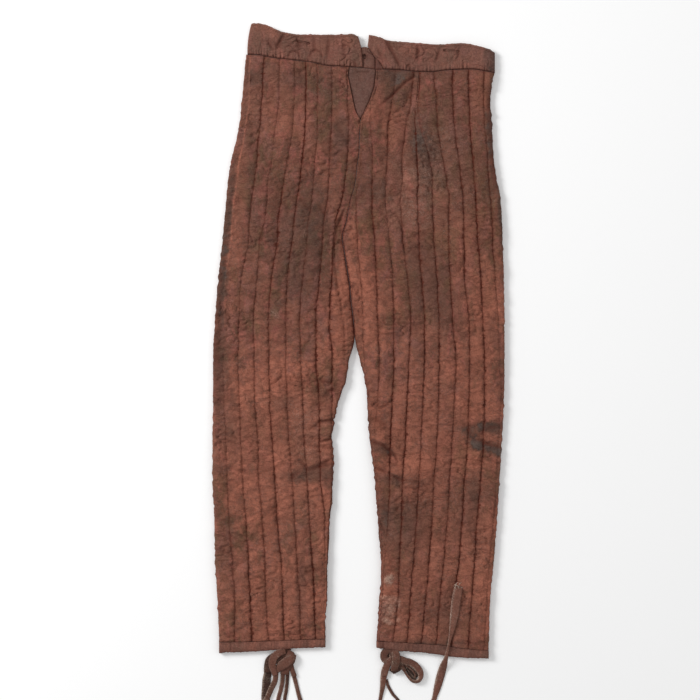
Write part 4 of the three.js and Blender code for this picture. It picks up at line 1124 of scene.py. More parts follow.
THREAD = ClothLook(
    "thread",
    base=(0.100, 0.030, 0.019),
    deep=(0.080, 0.024, 0.015),
    red=(0.120, 0.034, 0.023),
    rose=(0.120, 0.040, 0.030),
    olive=(0.085, 0.030, 0.018),
    glow=(0.12, 0.05, 0.035),
    soil=(0.045, 0.026, 0.021),
    worn=(0.34, 0.22, 0.18),
    stain_and_shade=(0.035, 0.022, 0.018),
    line=(0.088, 0.019, 0.010),
    stitched=False,
    crinkle=0.1,
)


# ---- Quilted legs -------------------------------------------------------------------------------
# The outermost strip, where the panel rolls away to its side edge, gets painted shade at the left knee and
# at
# the right hip: how much, then the heights where it starts and where it is full, from below and from above.
DARK_STRIPS = {
    Side.LEFT: (0.5, (-140, -60), (230, 150)),
    Side.RIGHT: (0.9, (235, 265), (425, 395)),
}


class Leg:
    """One leg's cut and the surfaces of its two panels."""

    def __init__(self, side: Side) -> None:
        """Work out the leg's curves from its tables.

        Args:
            side: Which leg.
        """
        rows = LEFT_ROWS if side is Side.LEFT else RIGHT_ROWS
        column = 1 if side is Side.LEFT else 2
        self.side = side
        self.outward = side.value
        self.side_edge = Curve((row[0], row[1]) for row in rows)
        self.inner_edge = Curve((row[0], row[column]) for row in INNER_ROWS)
        lines = [Curve((row[0], row[2][i]) for row in rows) for i in range(len(rows[0][2]))]
        self.lines = lines if side is Side.RIGHT else lines[::-1]
        strengths = [Curve((row[0], row[1][i]) for row in LINE_STRENGTHS[side]) for i in range(len(lines))]
        self.strengths = strengths if side is Side.RIGHT else strengths[::-1]
        self.hem_top = Curve(HEM_TOP[side])
        self.hem_foot = Curve(HEM_FOOT[side])
        self._rows: dict[float, tuple[float, ...]] = {}
        self._creases: dict[float, list[Crease]] = {}

    @property
    def channels(self) -> int:
        """Number of channels across the back panel."""
        return len(self.lines) + 1

    def height(self, level: float, x: float) -> float:
        """Return where a section lies along the garment.

        Args:
            level: The section's level.
            x: Place across, in millimetres.

        Returns:
            Its y there: level in the middle of the leg, slanted at the waist and the hem.
        """
        waist = smoothstep(SLANT_END, WAIST_LEVEL, level)
        hem = 1 - smoothstep(HEM_LEVEL, HEM_SLANT_START, level)
        to_waist = WAIST(x) - GAP - WAIST_LEVEL
        to_hem = self.hem_top(x) + GAP - HEM_LEVEL
        return level + waist * to_waist + hem * to_hem

    def places(self, level: float) -> tuple[float, ...]:
        """Return the places across a section, from the inner edge outwards.

        Args:
            level: The section's level.

        Returns:
            Inner edge, lines of quilting, side edge.
        """
        if level not in self._rows:
            out = self.outward
            seed = 10.0 + out
            scallop = 1.5 * ripple(level / 9, seed) + 0.9 * ripple(level / 3.8, seed, 2)
            side = self.side_edge(level) + scallop
            inner = self.inner_edge(level) + out * GAP / 2
            if level < FORK_LEVEL:
                fade = smoothstep(FORK_LEVEL, FORK_LEVEL - 20, level)
                inner += fade * (1.9 * ripple(level / 8, seed, 5) + 1.2 * ripple(level / 3.8, seed, 6))
                if self.side is Side.LEFT:
                    inner -= sum(depth * bell(level - at, 2.6) for at, depth in KNEE_NOTCHES)
            inside = []
            for i, line in enumerate(self.lines):
                drift = 1.2 * ripple(level / 30, i * 7.3, seed)
                inside.append(line(level) + drift + 1.1 * ripple(level / 6.5, i * 3.1, seed))
            places = [inner, *inside, side]
            for i in range(1, len(places) - 1):
                least = places[i - 1] * out + LEAST_CHANNEL
                most = side * out - (len(places) - 1 - i) * LEAST_CHANNEL
                places[i] = out * min(most, max(least, places[i] * out))
            self._rows[level] = tuple(places)
        return self._rows[level]

    def strength(self, line: int, level: float) -> float:
        """Return how strongly a line of quilting shows.

        Args:
            line: The line, counted from 1; line 0 is the inner edge, with the seat seam.
            level: The section's level.

        Returns:
            A share, less where the line runs close beside its neighbour.
        """
        if line == 0:
            return SEAT_SEAM(level) if level < 354 else 0.0
        if line == self.channels:
            return 0.0
        places = self.places(level)
        room = max(abs(places[line] - places[line - 1]), abs(places[line + 1] - places[line]))
        return self.strengths[line - 1](level) * smoothstep(1.5, 5.0, room)

    def relief(self, channel: int, share: float, level: float) -> Spot:
        """Return a point of the back panel's outer surface.

        Args:
            channel: Channel, counted from the inner edge.
            share: Share across the channel.
            level: Level of the section.

        Returns:
            The point.
        """
        places = self.places(level)
        last = self.channels - 1
        start, end = places[channel], places[channel + 1]
        width = abs(end - start)
        x = lerp(start, end, share)
        y = self.height(level, x)
        free = smoothstep(FORK_LEVEL + 150, FORK_LEVEL, level) if channel == 0 else 0.0
        shows = [self.strength(channel + side, level) for side in (0, 1)]
        walls = [
            lerp(SEWN_WALL + LINE_RISE * (1.0 - shows[0]), FREE_EDGE_WALL, free),
            FREE_EDGE_WALL if channel == last else SEWN_WALL + LINE_RISE * (1.0 - shows[1]),
        ]
        fullness = min(1.0, width / FULL_CHANNEL)
        full = 0.97 + 0.2 * ripple(y / 46, channel * 2.3, self.outward)
        full += 0.08 * ripple(y / 11, channel * 5.1, 4)
        arch = (4 * share * (1 - share)) ** 0.5
        foot = lerp(*walls, share)
        crown = STITCH_WALL + (PUFF_WALL - STITCH_WALL) * fullness * full
        wall = foot + max(0.0, crown - foot) * arch
        pucker, sharp = self._puckers(channel, share, width, x, y)
        pressed = LEG_PRESS * sum(crease.drop(x, y) for crease in self._near(level))
        wall -= pucker * min(1.0, 0.3 + fullness) + pressed
        wall = max(0.7, wall)
        waist = WAIST(x) - y
        hem = y - self.hem_top(x)
        wall *= lerp(0.45, 1.0, rounded(waist - GAP, 6.0)) * lerp(0.7, 1.0, rounded(hem - GAP, 5.0))
        # Painted shade along the waist seam, and below y 190 in the seat seam between the legs.
        seam = 1.3 if -25 < x < 75 else 1.05
        seam *= bell(waist, WAIST_SEAM_WIDTH) * (0.8 + 0.9 * ripple(x / 7, 3.0))
        if channel == 0 and y < 190:
            seam += 1.3 * bell(share * width, 0.9 + smoothstep(180, 20, y))
        # Painted highlight along a raised ridge on the left leg's outermost line, added to the glow
        # attribute.
        highlight = 0.0
        if self.side is Side.LEFT and channel >= last - 1 and y > 20:
            highlight = bell(width * (share if channel == last else 1 - share), 1.5)
            wall += 0.7 * highlight
        # Painted shade on the outermost strip, where the panel rolls away to its side edge.
        if channel == last:
            much, lower, upper = DARK_STRIPS[self.side]
            seam += much * smoothstep(0.1, 0.7, share) * smoothstep(*lower, y) * smoothstep(*upper, y)
        # fold carries painted shade: in sharp wrinkles, pressed creases, the seams and the outermost strip.
        return Spot(
            Vector((x, y, BACK_BASE + wall)),
            across=channel + share,
            line=shows[round(share)],
            fold=min(1.2, 0.45 * sharp + 0.5 * max(0.0, pressed) + max(0.0, seam)),
            soil=patches(SOIL_AND_SHADE, x, y),
            glow=patches(GLOW, x, y) + 0.8 * highlight,
            worn=patches(WEAR_AND_HIGHLIGHT, x, y),
        )

    def _puckers(self, channel: int, share: float, width: float, x: float, y: float) -> Point2:
        """Return how far the puckers let the surface down.

        Args:
            channel: Channel, counted from the inner edge.
            share: Share across the channel.
            width: Width of the channel, in millimetres.
            x: Place across.
            y: Place along.

        Returns:
            Drop in millimetres, and how near a sharp wrinkle is, from 0 to 1.
        """
        drop = 0.0
        for line, away, way in ((channel, share * width, 1), (channel + 1, (1 - share) * width, -1)):
            reach = bell(away, 7.0)
            lean = 0.5 * away * way * (0.4 + ripple(y / 40, line * 2.9, 17))
            gather = ripple((y + lean) / 5.6, line * 4.7 + away * way / 28, self.outward)
            drop += reach * (1.9 * gather + 0.8 * ripple((y - lean) / 2.9, line * 9.1, 2 * self.outward))
        middle = 4 * share * (1 - share)
        fold = abs(ripple(x / 17, y / 8.0, 21.0 + 0.37 * channel))
        sharp = 1 - smoothstep(0.0, 0.17, fold)
        sharp *= (0.4 + 0.6 * middle) * max(0.0, 0.6 + 1.1 * ripple(x / 45, y / 45, 2.0))
        swell = 2.6 * middle * ripple(x / 26, y / 13, 6.0) + 1.7 * ripple(x / 46, y / 26, 9.0)
        return drop + 2.3 * sharp + swell, sharp

    def _near(self, level: float) -> list[Crease]:
        """Return the creases that may reach a section.

        Args:
            level: The section's level.

        Returns:
            The creases.
        """
        if level not in self._creases:
            slack = 24.0
            self._creases[level] = [
                crease
                for crease in LEG_CREASES
                if crease.reaches(level) or crease.reaches(level + slack) or crease.reaches(level - slack)
            ]
        return self._creases[level]

    def back_panel(self, material: Material) -> Piece:
        """Build the quilted back panel.

        Args:
            material: Its cloth.

        Returns:
            The piece.
        """
        columns = self.channels * CHANNEL_COLUMNS
        rows = round((WAIST_LEVEL - HEM_LEVEL) / ROW_PITCH)

        def spot(column: int, row: int) -> Spot:
            """Return the outer point of a column and row."""
            channel = min(self.channels - 1, column // CHANNEL_COLUMNS)
            share = (column - channel * CHANNEL_COLUMNS) / CHANNEL_COLUMNS
            eased = 0.5 - 0.5 * math.cos(math.pi * share)
            return self.relief(channel, lerp(share, eased, 0.45), lerp(WAIST_LEVEL, HEM_LEVEL, row / rows))

        name = f"panel_{self.side.name.lower()}_back"
        return cloth_shell(name, columns, rows, spot, BACK_BASE, material)

    def front_panel(self, material: Material) -> Piece:
        """Build the front panel, pressed flat on the surface below.

        Args:
            material: Its cloth.

        Returns:
            The piece.
        """
        per_channel = 6
        edge = 5
        inner_columns = self.channels * per_channel
        columns = inner_columns + 2 * edge
        rows = 153

        def spot(column: int, row: int) -> Spot:
            """Return the outer point of a column and row."""
            level = lerp(WAIST_LEVEL, HEM_LEVEL, row / rows)
            out = self.outward
            seam = level >= FORK_LEVEL
            inner = (CENTRE(level) + out * GAP / 2) if level > 353 else self.places(level)[0]
            side = self.places(level)[-1]
            inner_roll = EDGE_ROLL * (0.15 if seam else 1.0)
            across = 0.0
            if column < edge:
                share = column / edge
                x, drop = inner + out * inner_roll * share, share
            elif column > columns - edge:
                share = (columns - column) / edge
                x, drop = side - out * EDGE_ROLL * share, share
            else:
                t = (column - edge) / inner_columns
                x, drop = lerp(inner + out * inner_roll, side - out * EDGE_ROLL, t), 1.0
                across = t * self.channels
            z = (FRONT_TOP - FREE_EDGE_WALL) * (1 - rounded(drop, 1.0))
            if across:
                away = abs(across - round(across)) * abs(side - inner) / self.channels
                groove = 0.9 * bell(away, 1.7)
                z += groove * (0.8 + 0.3 * ripple(level / 7, round(across) * 3.3, 1))
            y = self.height(level, x)
            return Spot(Vector((x, y, max(0.0, z))), across=across, line=0.6, soil=0.25, glow=0.1)

        name = f"panel_{self.side.name.lower()}_front"
        return cloth_shell(name, columns, rows, spot, FRONT_TOP, material)

    def stitching(self, pen: ThreadPen) -> None:
        """Lay the stitches of the quilting.

        Args:
            pen: Lays the stitches.
        """
        for i in range(1, self.channels):
            length = WAIST_LEVEL - HEM_LEVEL - 4

            def path(distance: float, line: int = i) -> Vector:
                """Return a point of a line of quilting."""
                level = WAIST_LEVEL - 2 - distance
                spot = self.relief(line, 0.0, level)
                return spot.place + Vector((0, 0, -0.25 if spot.line > 0.1 else -1.2))

            pen.seam(path, length)


# ---- Waistband, gusset and hems -----------------------------------------------------------------
def at_height(share: float, x: float) -> float:
    """Return the height at a share of the waistband."""
    return lerp(WAIST(x) + GAP / 2, BAND_EDGE(x), share)


def left_band_ends(share: float) -> Point2:
    """Return where the left half of the waistband ends at a share of its height.

    Args:
        share: 0 at the seam, 1 at the top edge.

    Returns:
        Its side end and its inner end.
    """
    height = at_height(share, -5)
    if height > NOTCH_FLOOR:
        inner = lerp(NOTCH_LEFT_FOOT, NOTCH_LEFT_TOP, min(1.0, (height - NOTCH_FLOOR) / NOTCH_SIDE))
    else:
        rise = (height - BRIDGE_FOOT) / (NOTCH_FLOOR - BRIDGE_FOOT)
        inner = lerp(BRIDGE_LEFT - GAP, NOTCH_LEFT_FOOT, min(1.0, max(0.0, rise)))
    return lerp(BAND_LEFT_END, BAND_LEFT_END + BAND_LEFT_LEAN, share**3), inner


def right_band_ends(share: float) -> Point2:
    """Return where the right half of the waistband ends at a share of its height.

    Args:
        share: 0 at the seam, 1 at the top edge.

    Returns:
        Its inner end and its side end.
    """
    height = at_height(share, 18)
    if height > NOTCH_FLOOR:
        inner = lerp(NOTCH_RIGHT_FOOT, NOTCH_RIGHT_TOP, min(1.0, (height - NOTCH_FLOOR) / NOTCH_SIDE))
    else:
        inner = TURN(height)
    return inner, BAND_RIGHT_END


@dataclass(frozen=True)
class BandHalf:
    """A half of the waistband on the back: its name, its ends, and its count of columns."""

    name: str
    ends: Callable[[float], Point2]
    columns: int

    def spot(self, along: float, share: float) -> Spot:
        """Return a point of the band's outer surface.

        Args:
            along: Share of the way from its first end to its last.
            share: 0 at the seam, 1 at the top edge.

        Returns:
            The point.
        """
        start, end = self.ends(share)
        x = lerp(start, end, along)
        low, high = WAIST(x) + GAP / 2, BAND_EDGE(x)
        wavy = 1.3 * ripple(x / 8, 3) + 0.8 * ripple(x / 3.6, 5)
        y = lerp(low, high, share) + wavy * smoothstep(0.7, 1.0, share)
        wall = BAND_WALL * lerp(0.5, 1.0, rounded(min(y - low, high - y), 3.4))
        wall *= lerp(0.55, 1.0, rounded(min(x - start, end - x), 3.0))
        gathers = ripple(x / 3.4, 7) + 0.6 * ripple(x / 1.9, 11)
        gathered = gathers * bell(y - low, 9.5) * (0.8 + 0.9 * ripple(x / 30, 4))
        wall -= 1.9 * gathered
        pressed = BAND_PRESS * sum(crease.drop(x, y) for crease in BAND_CREASES)
        sharp = 1 - smoothstep(0.0, 0.15, abs(ripple(x / 13, y / 9, 31.0)))
        sharp *= max(0.0, 0.6 + 1.1 * ripple(x / 40, y / 30, 2.0)) * (1 - smoothstep(0.8, 1, share))
        wall -= pressed + 1.3 * sharp
        wall -= 0.9 * ripple(x / 24, y / 18, 12)
        near_end = min(x - start, end - x) if abs(x) < 60 else 9.0
        # Painted shade along the waist seam and at the inner ends by the notch; with the creases, gathers
        # and wrinkles it goes into fold.
        seam = 1.3 * bell(y - low, 1.8 + 1.1 * ripple(x / 8, 9))
        seam += 1.1 * bell(near_end, 2.2) * (1 - smoothstep(466, 474, y))
        wall -= 0.55 * math.exp(-((high - y - TOP_STITCH_INSET) ** 2) / 0.8)
        for hole in BUTTONHOLES:
            wall -= hole.slit(x, y)
        return Spot(
            Vector((x, y, BACK_BASE + max(0.8, wall))),
            fold=min(1.2, 0.6 * sharp + 0.8 * max(0.0, pressed) + 0.6 * max(0.0, gathered) + seam),
            soil=0.6 * patches(SOIL_AND_SHADE, x, y) + 0.9 * smoothstep(194, 212, x),
            glow=0.8 * patches(GLOW, x, y),
        )

    def build(self, material: Material) -> Piece:
        """Build the piece.

        Args:
            material: Its cloth.

        Returns:
            The piece.
        """
        rows = 56
        return cloth_shell(
            self.name,
            self.columns,
            rows,
            lambda column, row: self.spot(column / self.columns, row / rows),
            BACK_BASE,
            material,
        )


@dataclass(frozen=True)
class Buttonhole:
    """A worked buttonhole: its middle, its length and its turn."""

    centre: Point2
    length: float
    turn: float

    def slit(self, x: float, y: float) -> float:
        """Return how deep the slit is.

        Args:
            x: Place across.
            y: Place along.

        Returns:
            Depth in millimetres.
        """
        turn = math.radians(self.turn)
        dx, dy = x - self.centre[0], y - self.centre[1]
        along = dx * math.cos(turn) + dy * math.sin(turn)
        away = dy * math.cos(turn) - dx * math.sin(turn)
        if abs(away) > 4 or abs(along) > self.length:
            return 0.0
        inside = 1 - smoothstep(self.length / 2 - 1, self.length / 2 + 1, abs(along))
        return inside * 1.6 * bell(away, 0.9)

    def stitches(self, pen: ThreadPen, height: Callable[[float, float], float]) -> None:
        """Lay the overcast stitches round the slit.

        Args:
            pen: Lays the stitches.
            height: Gives the band's surface, as z, at x and y.
        """
        turn = math.radians(self.turn)
        run = Vector((math.cos(turn), math.sin(turn), 0))
        side = Vector((-run.y, run.x, 0))
        middle = Vector((*self.centre, 0))

        def on_band(point: Vector) -> Vector:
            """Lift a point just clear of the band."""
            return Vector((point.x, point.y, height(point.x, point.y) + 0.25))

        count = round(self.length / 1.0)
        for i in range(count):
            along = middle + run * (self.length * ((i + 0.5) / count - 0.5))
            for way in (-1, 1):
                reach = 2.1 + 0.4 * ripple(i * 0.9, way, 3)
                near, far = along + side * way * 0.6, along + side * way * reach
                pen.bar(on_band(near), on_band(far), 0.55)
        for way in (-1, 1):
            end = middle + run * way * (self.length / 2 + 0.4)
            for k in (-1.2, 0.0, 1.2):
                bar = end + run * k * 0.35
                pen.bar(on_band(bar - side * 1.8), on_band(bar + side * 1.8), 0.6)


BUTTONHOLES = (
    Buttonhole((-88.8, 478.4), 19, -14),
    Buttonhole((148, 464.5), 24, -4),
)
BAND_HALVES = (
    BandHalf("waistband_left_back", left_band_ends, 230),
    BandHalf("waistband_right_back", right_band_ends, 250),
)


def band_front(name: str, start: float, end: float, material: Material) -> Piece:
    """Build a half of the waistband on the front, which lies on the surface.

    Args:
        name: Name of the object.
        start: Its first end.
        end: Its last end.
        material: Its cloth.

    Returns:
        The piece.
    """
    columns, rows = 90, 22

    def spot(column: int, row: int) -> Spot:
        """Return the outer point of a column and row."""
        share = row / rows
        first = start + (BAND_LEFT_LEAN * share**3 if start == BAND_LEFT_END else 0)
        x = lerp(first, end, column / columns)
        y = lerp(WAIST(x) + GAP / 2, BAND_EDGE(x), share)
        edge = min(y - WAIST(x), BAND_EDGE(x) - y)
        z = 1.5 * (1 - rounded(edge, 3.0)) + 0.5 * math.exp(-((edge - 5) ** 2) / 1.2)
        return Spot(Vector((x, y, z)), soil=0.15)

    return cloth_shell(name, columns, rows, spot, FRONT_TOP, material)


def bridge_back(material: Material) -> Piece:
    """Build the waistband's bridge below the notch, with its small oval opening.

    Args:
        material: Its cloth.

    Returns:
        The piece.
    """
    columns, rows = 60, 84
    x0, y0, half_x, half_y = EYE

    def spot(column: int, row: int) -> Spot:
        """Return the outer point of a column and row."""
        t = row / rows
        low = WAIST(20) + GAP / 2
        y = lerp(low, NOTCH_FLOOR - 0.4, t)
        share = (y - low) / (BAND_EDGE(18) - low)
        left = lerp(BRIDGE_LEFT + GAP, NOTCH_LEFT_FOOT + GAP * 2, t)
        right = right_band_ends(share)[0] - 1.0
        x = lerp(left, right, column / columns)
        y += (WAIST(x) - WAIST(20)) * (1 - t)
        pleats = 0.5 * math.sin(x * 2.3) * smoothstep(458, 468, y)
        wall = 2.5 * lerp(0.6, 1.0, rounded(NOTCH_FLOOR - y, 2.0)) - max(0.0, pleats)
        rim = math.hypot((x - x0) / half_x, (y - y0) / half_y)
        wall += 0.6 * math.exp(-((rim - 1.35) ** 2) / 0.06)
        pressed = sum(crease.drop(x, y) for crease in BRIDGE_CREASES)
        wall -= pressed
        # Painted shade: the whole bridge is darkened, more on its right where the band turns under, in its
        # creases and pleats, along its foot and round the opening.
        soil = 0.5 + 0.2 * smoothstep(0.0, 9.0, x - 17) + 0.3 * ripple(x / 6, y / 6, 5)
        fold = 0.7 * smoothstep(0.0, 9.0, x - 17) + 0.7 * pressed + max(0.0, pleats)
        fold += 1.2 * bell(t * 35, 1.6)
        fold += 1.2 * bell(rim - 1.0, 0.3)
        return Spot(Vector((x, y, BACK_BASE + max(THINNEST, wall))), fold=min(1.2, fold), soil=soil)

    def hole(middle: Vector) -> bool:
        """Return whether a cell lies in the opening."""
        return math.hypot((middle.x - x0) / half_x, (middle.y - y0) / half_y) < 1

    return cloth_shell("waistband_bridge_back", columns, rows, spot, BACK_BASE, material, hole)


def bridge_front(material: Material) -> Piece:
    """Build the bridge's front layer.

    Args:
        material: Its cloth.

    Returns:
        The piece.
    """
    columns, rows = 16, 24

    def spot(column: int, row: int) -> Spot:
        """Return the outer point of a column and row."""
        x = lerp(NOTCH_LEFT_TOP, 17.2, column / columns)
        y = lerp(WAIST(x) + GAP / 2, NOTCH_FLOOR - 1, row / rows)
        # Painted shade: this layer is darkened all over, as the shade seen through the bridge's opening.
        return Spot(Vector((x, y, 0.25 + 0.2 * math.sin(x))), fold=0.7, soil=0.9)

    return cloth_shell("waistband_bridge_front", columns, rows, spot, FRONT_TOP, material)


def vent_gusset(left: Leg, right: Leg, material: Material) -> Piece:
    """Build the plain triangle let in between the back panels.

    Args:
        left: The left leg.
        right: The right leg.
        material: Its cloth.

    Returns:
        The piece.
    """
    columns, rows = 44, 78

    def spot(column: int, row: int) -> Spot:
        """Return the outer point of a column and row."""
        level = lerp(WAIST_LEVEL, GUSSET_FOOT, row / rows)
        start = left.inner_edge(level) + GAP / 2
        end = right.inner_edge(level) - GAP / 2
        t = column / columns
        x = lerp(start, end, t)
        y = left.height(level, x)
        edge = min(x - start, end - x)
        wall = GUSSET_WALL * (0.62 + 0.5 * rounded(edge, 5.0))
        beside = 1 - smoothstep(9, 12, abs(x - TUCK_MIDDLE))
        tuck = math.exp(-((y - TUCK_LEVEL) ** 2) / 1.6) * beside
        wall -= 1.3 * tuck
        wall += 0.5 * math.exp(-((y - TUCK_LEVEL - 3.0) ** 2) / 3.0) * beside
        wall -= 0.35 * ripple(x / 9, y / 14, 14) + 0.25 * abs(ripple(x / 5, y / 7, 15))
        wall *= lerp(0.6, 1.0, rounded(WAIST(x) - y - GAP, 4.0))
        # Painted shade along the gusset's edges and in its tuck.
        fold = 0.85 * bell(edge, 1.2 if x < 0 else 1.8) + 0.9 * tuck
        soil = 0.72 + 0.3 * patches(SOIL_AND_SHADE, x, y)
        return Spot(Vector((x, y, BACK_BASE + max(THINNEST, wall))), fold=min(1.2, fold), soil=soil)

    return cloth_shell("gusset", columns, rows, spot, BACK_BASE, material)


def hem_binding(leg: Leg, is_back: bool, material: Material) -> Piece:
    """Build a layer of a hem's binding.

    Args:
        leg: The leg that it binds.
        is_back: Whether it is the layer on top.
        material: Its cloth.

    Returns:
        The piece.
    """
    columns, rows = (170, 18) if is_back else (70, 10)
    out = leg.outward
    start = leg.inner_edge(-487) - out * HEM_TAKE
    end = leg.side_edge(-484) + out * HEM_TAKE

    def spot(column: int, row: int) -> Spot:
        """Return the outer point of a column and row."""
        x = lerp(start, end, column / columns)
        share = row / rows
        sag = (0.9 * ripple(x / 12, out, 2) + 0.7 * ripple(x / 3.4, out, 7)) * (1 - share)
        y = lerp(leg.hem_foot(x) + sag, leg.hem_top(x) - GAP / 2, share)
        arch = (4 * share * (1 - share)) ** 0.5
        if not is_back:
            return Spot(Vector((x, y, 1.5 * (1 - min(1.0, 1.25 * arch)))), soil=0.2)
        wall = HEM_WALL * (0.45 + 0.62 * min(1.0, 2.6 * share) ** 0.5)
        gather = ripple(x / 2.6, share * 0.8, out) + 0.8 * ripple(x / 6.5, share, out + 4)
        wall -= 0.75 * gather * (0.4 + 0.6 * arch)
        rolled = bell(x - ROLLED_CORNER, 4.5)
        wall += 2.2 * rolled
        wall *= lerp(0.6, 1.0, rounded(min(abs(x - start), abs(end - x)), 2.5))
        # Painted shade along the seam at the top, in the gathers and beside the rolled corner; darker along
        # the lower edge as well.
        sewn = max(0.0, 0.3 + 0.9 * ripple(x / 6, out, 3)) * bell(1 - share, 0.12)
        fold = sewn + 0.8 * bell(share, 0.2) + 0.3 * max(0.0, gather)
        fold += bell(x - ROLLED_EDGE, 1.6)
        return Spot(
            Vector((x, y - 1.5 * rolled * (1 - share), BACK_BASE + max(THINNEST, wall))),
            fold=min(1.0, fold),
            soil=0.24 + 0.6 * patches(SOIL_AND_SHADE, x, y) + 0.4 * ripple(x / 16, out, 8),
            glow=0.3 + 0.7 * patches(GLOW, x, y) + 0.5 * ripple(x / 11, out, 6),
        )

    name = f"binding_{leg.side.name.lower()}_{'back' if is_back else 'front'}"
    inside = BACK_BASE if is_back else FRONT_TOP
    return cloth_shell(name, columns, rows, spot, inside, material)


# ---- Ties ---------------------------------------------------------------------------------------
FLAT = FLOOR_CLEAR + TAPE_WALL / 2
TapeRow = tuple[float, float, float, float]
Wrap = tuple[float, float, tuple[TapeRow, ...]]


@dataclass(frozen=True)
class Tie:
    """A free tape: its node, its declared width, how dark it is from soil and painted shade, and the rows of
    its route.

    Each row is x, y, z and the width seen from above, in millimetres.
    """

    node: str
    width: float
    soil: float
    rows: tuple[TapeRow, ...]


TIES = (
    # This wide tape's darkness is painted shade, as of a tape lying in shadow.
    Tie("tie_left_wide", 14, 1.05, (
        (-142.5, -524.5, FLAT, 11), (-147, -540, FLAT, 13), (-148, -556, FLAT, 14),
        (-149, -575, FLAT, 14), (-147, -600, FLAT, 14), (-142, -628, FLAT, 14), (-135, -655, FLAT, 14),
    )),
    Tie("tie_left_crossing", 11, 0.15, (
        (-132.3, -529, FLAT + 2.6, 8), (-134, -545, FLAT + 2.4, 9), (-140, -558, FLAT + 2.2, 9),
        (-147, -574, FLAT + 2.0, 9), (-156, -592, FLAT + 1.9, 10), (-166, -609, FLAT + 0.7, 12),
        (-178, -624, FLAT, 13), (-192, -637, FLAT, 13),
    )),
    Tie("tie_left_middle", 10, 0.25, (
        (-121.5, -530.4, FLAT, 7), (-122, -546, FLAT, 7), (-125, -561, FLAT, 7), (-129, -577, FLAT, 7),
        (-130, -600, FLAT, 9), (-122, -624, FLAT, 11), (-110, -647, FLAT, 12),
    )),
    Tie("tie_left_inner", 10, 0.8, (
        (-113.8, -530.3, FLAT, 6), (-114.5, -546, FLAT, 6), (-116, -561, FLAT, 6),
        (-118.5, -577, FLAT, 6), (-117, -598, FLAT, 8), (-107, -620, FLAT, 10), (-93, -639, FLAT, 12),
    )),
    Tie("tie_left_outer", 10, 0.4, (
        (-107, -527, FLAT, 8), (-103, -540, FLAT, 7), (-99, -556, FLAT, 6.5), (-94, -575, FLAT, 7),
        (-86, -597, FLAT, 9), (-74, -618, FLAT, 11), (-59, -635, FLAT, 12),
    )),
    Tie("tie_right_wide", 11, 0.15, (
        (44.7, -523.3, FLAT + 0.8, 11), (40.5, -538, FLAT + 1.7, 10.5), (38.5, -556, FLAT + 1.0, 8),
        (35, -575, FLAT, 6), (30, -598, FLAT, 8), (24, -622, FLAT, 11), (20, -648, FLAT, 12),
    )),
    Tie("tie_right_thin", 9, 0.7, (
        (45, -543.5, FLAT, 4.5), (47.6, -554, FLAT, 5), (55, -567, FLAT, 5), (62, -575, FLAT, 5),
        (74, -592, FLAT, 7), (83, -612, FLAT, 9), (86, -637, FLAT, 11),
    )),
    Tie("leg_tape", 13, 0.0, (
        (160, -394, 12.6, 14), (156, -415, 12.6, 15), (152, -447, 12.5, 12.5), (146, -478, 12.2, 5),
        (142.5, -494, 11.4, 4.5), (140, -508, 8.4, 7), (137, -519, 4.4, 11),
        (133.6, -531, FLAT + 0.3, 13), (130, -544, FLAT, 13), (126, -559, FLAT, 11), (122, -573, FLAT, 8),
        (115, -597, FLAT, 10), (111, -622, FLAT, 13), (113, -650, FLAT, 14),
    )),
    Tie("tie_right_loop", 9, 0.1, (
        (70.5, -513, 5.0, 10), (80, -514.5, 5.0, 11.5), (90.5, -520, 5.0, 11.5), (98, -529, 4.6, 10.5),
        (100, -537.5, 4.4, 8.5), (96, -545, 4.2, 6.5), (87, -545.5, 4.0, 5), (79, -537.5, 4.0, 4),
        (73, -528.5, 4.2, 3.2), (69.5, -521.5, 4.4, 3),
    )),
)


def smooth_route(rows: Sequence[TapeRow], per_row: int) -> list[TapeRow]:
    """Return a smooth route through a tape's rows.

    Args:
        rows: Its rows.
        per_row: Steps from one row to the next.

    Returns:
        The route, with every row on it.
    """
    padded = [rows[0], *rows, rows[-1]]
    route = []
    for i in range(len(rows) - 1):
        before, start, end, after = padded[i : i + 4]
        for k in range(per_row):
            t = k / per_row
            route.append(
                tuple(
                    0.5
                    * (
                        2 * b
                        + (c - a) * t
                        + (2 * a - 5 * b + 4 * c - d) * t * t
                        + (3 * b - a - 3 * c + d) * t**3
                    )
                    for a, b, c, d in zip(before, start, end, after)
                )
            )
    route.append(tuple(float(value) for value in rows[-1]))
    return route


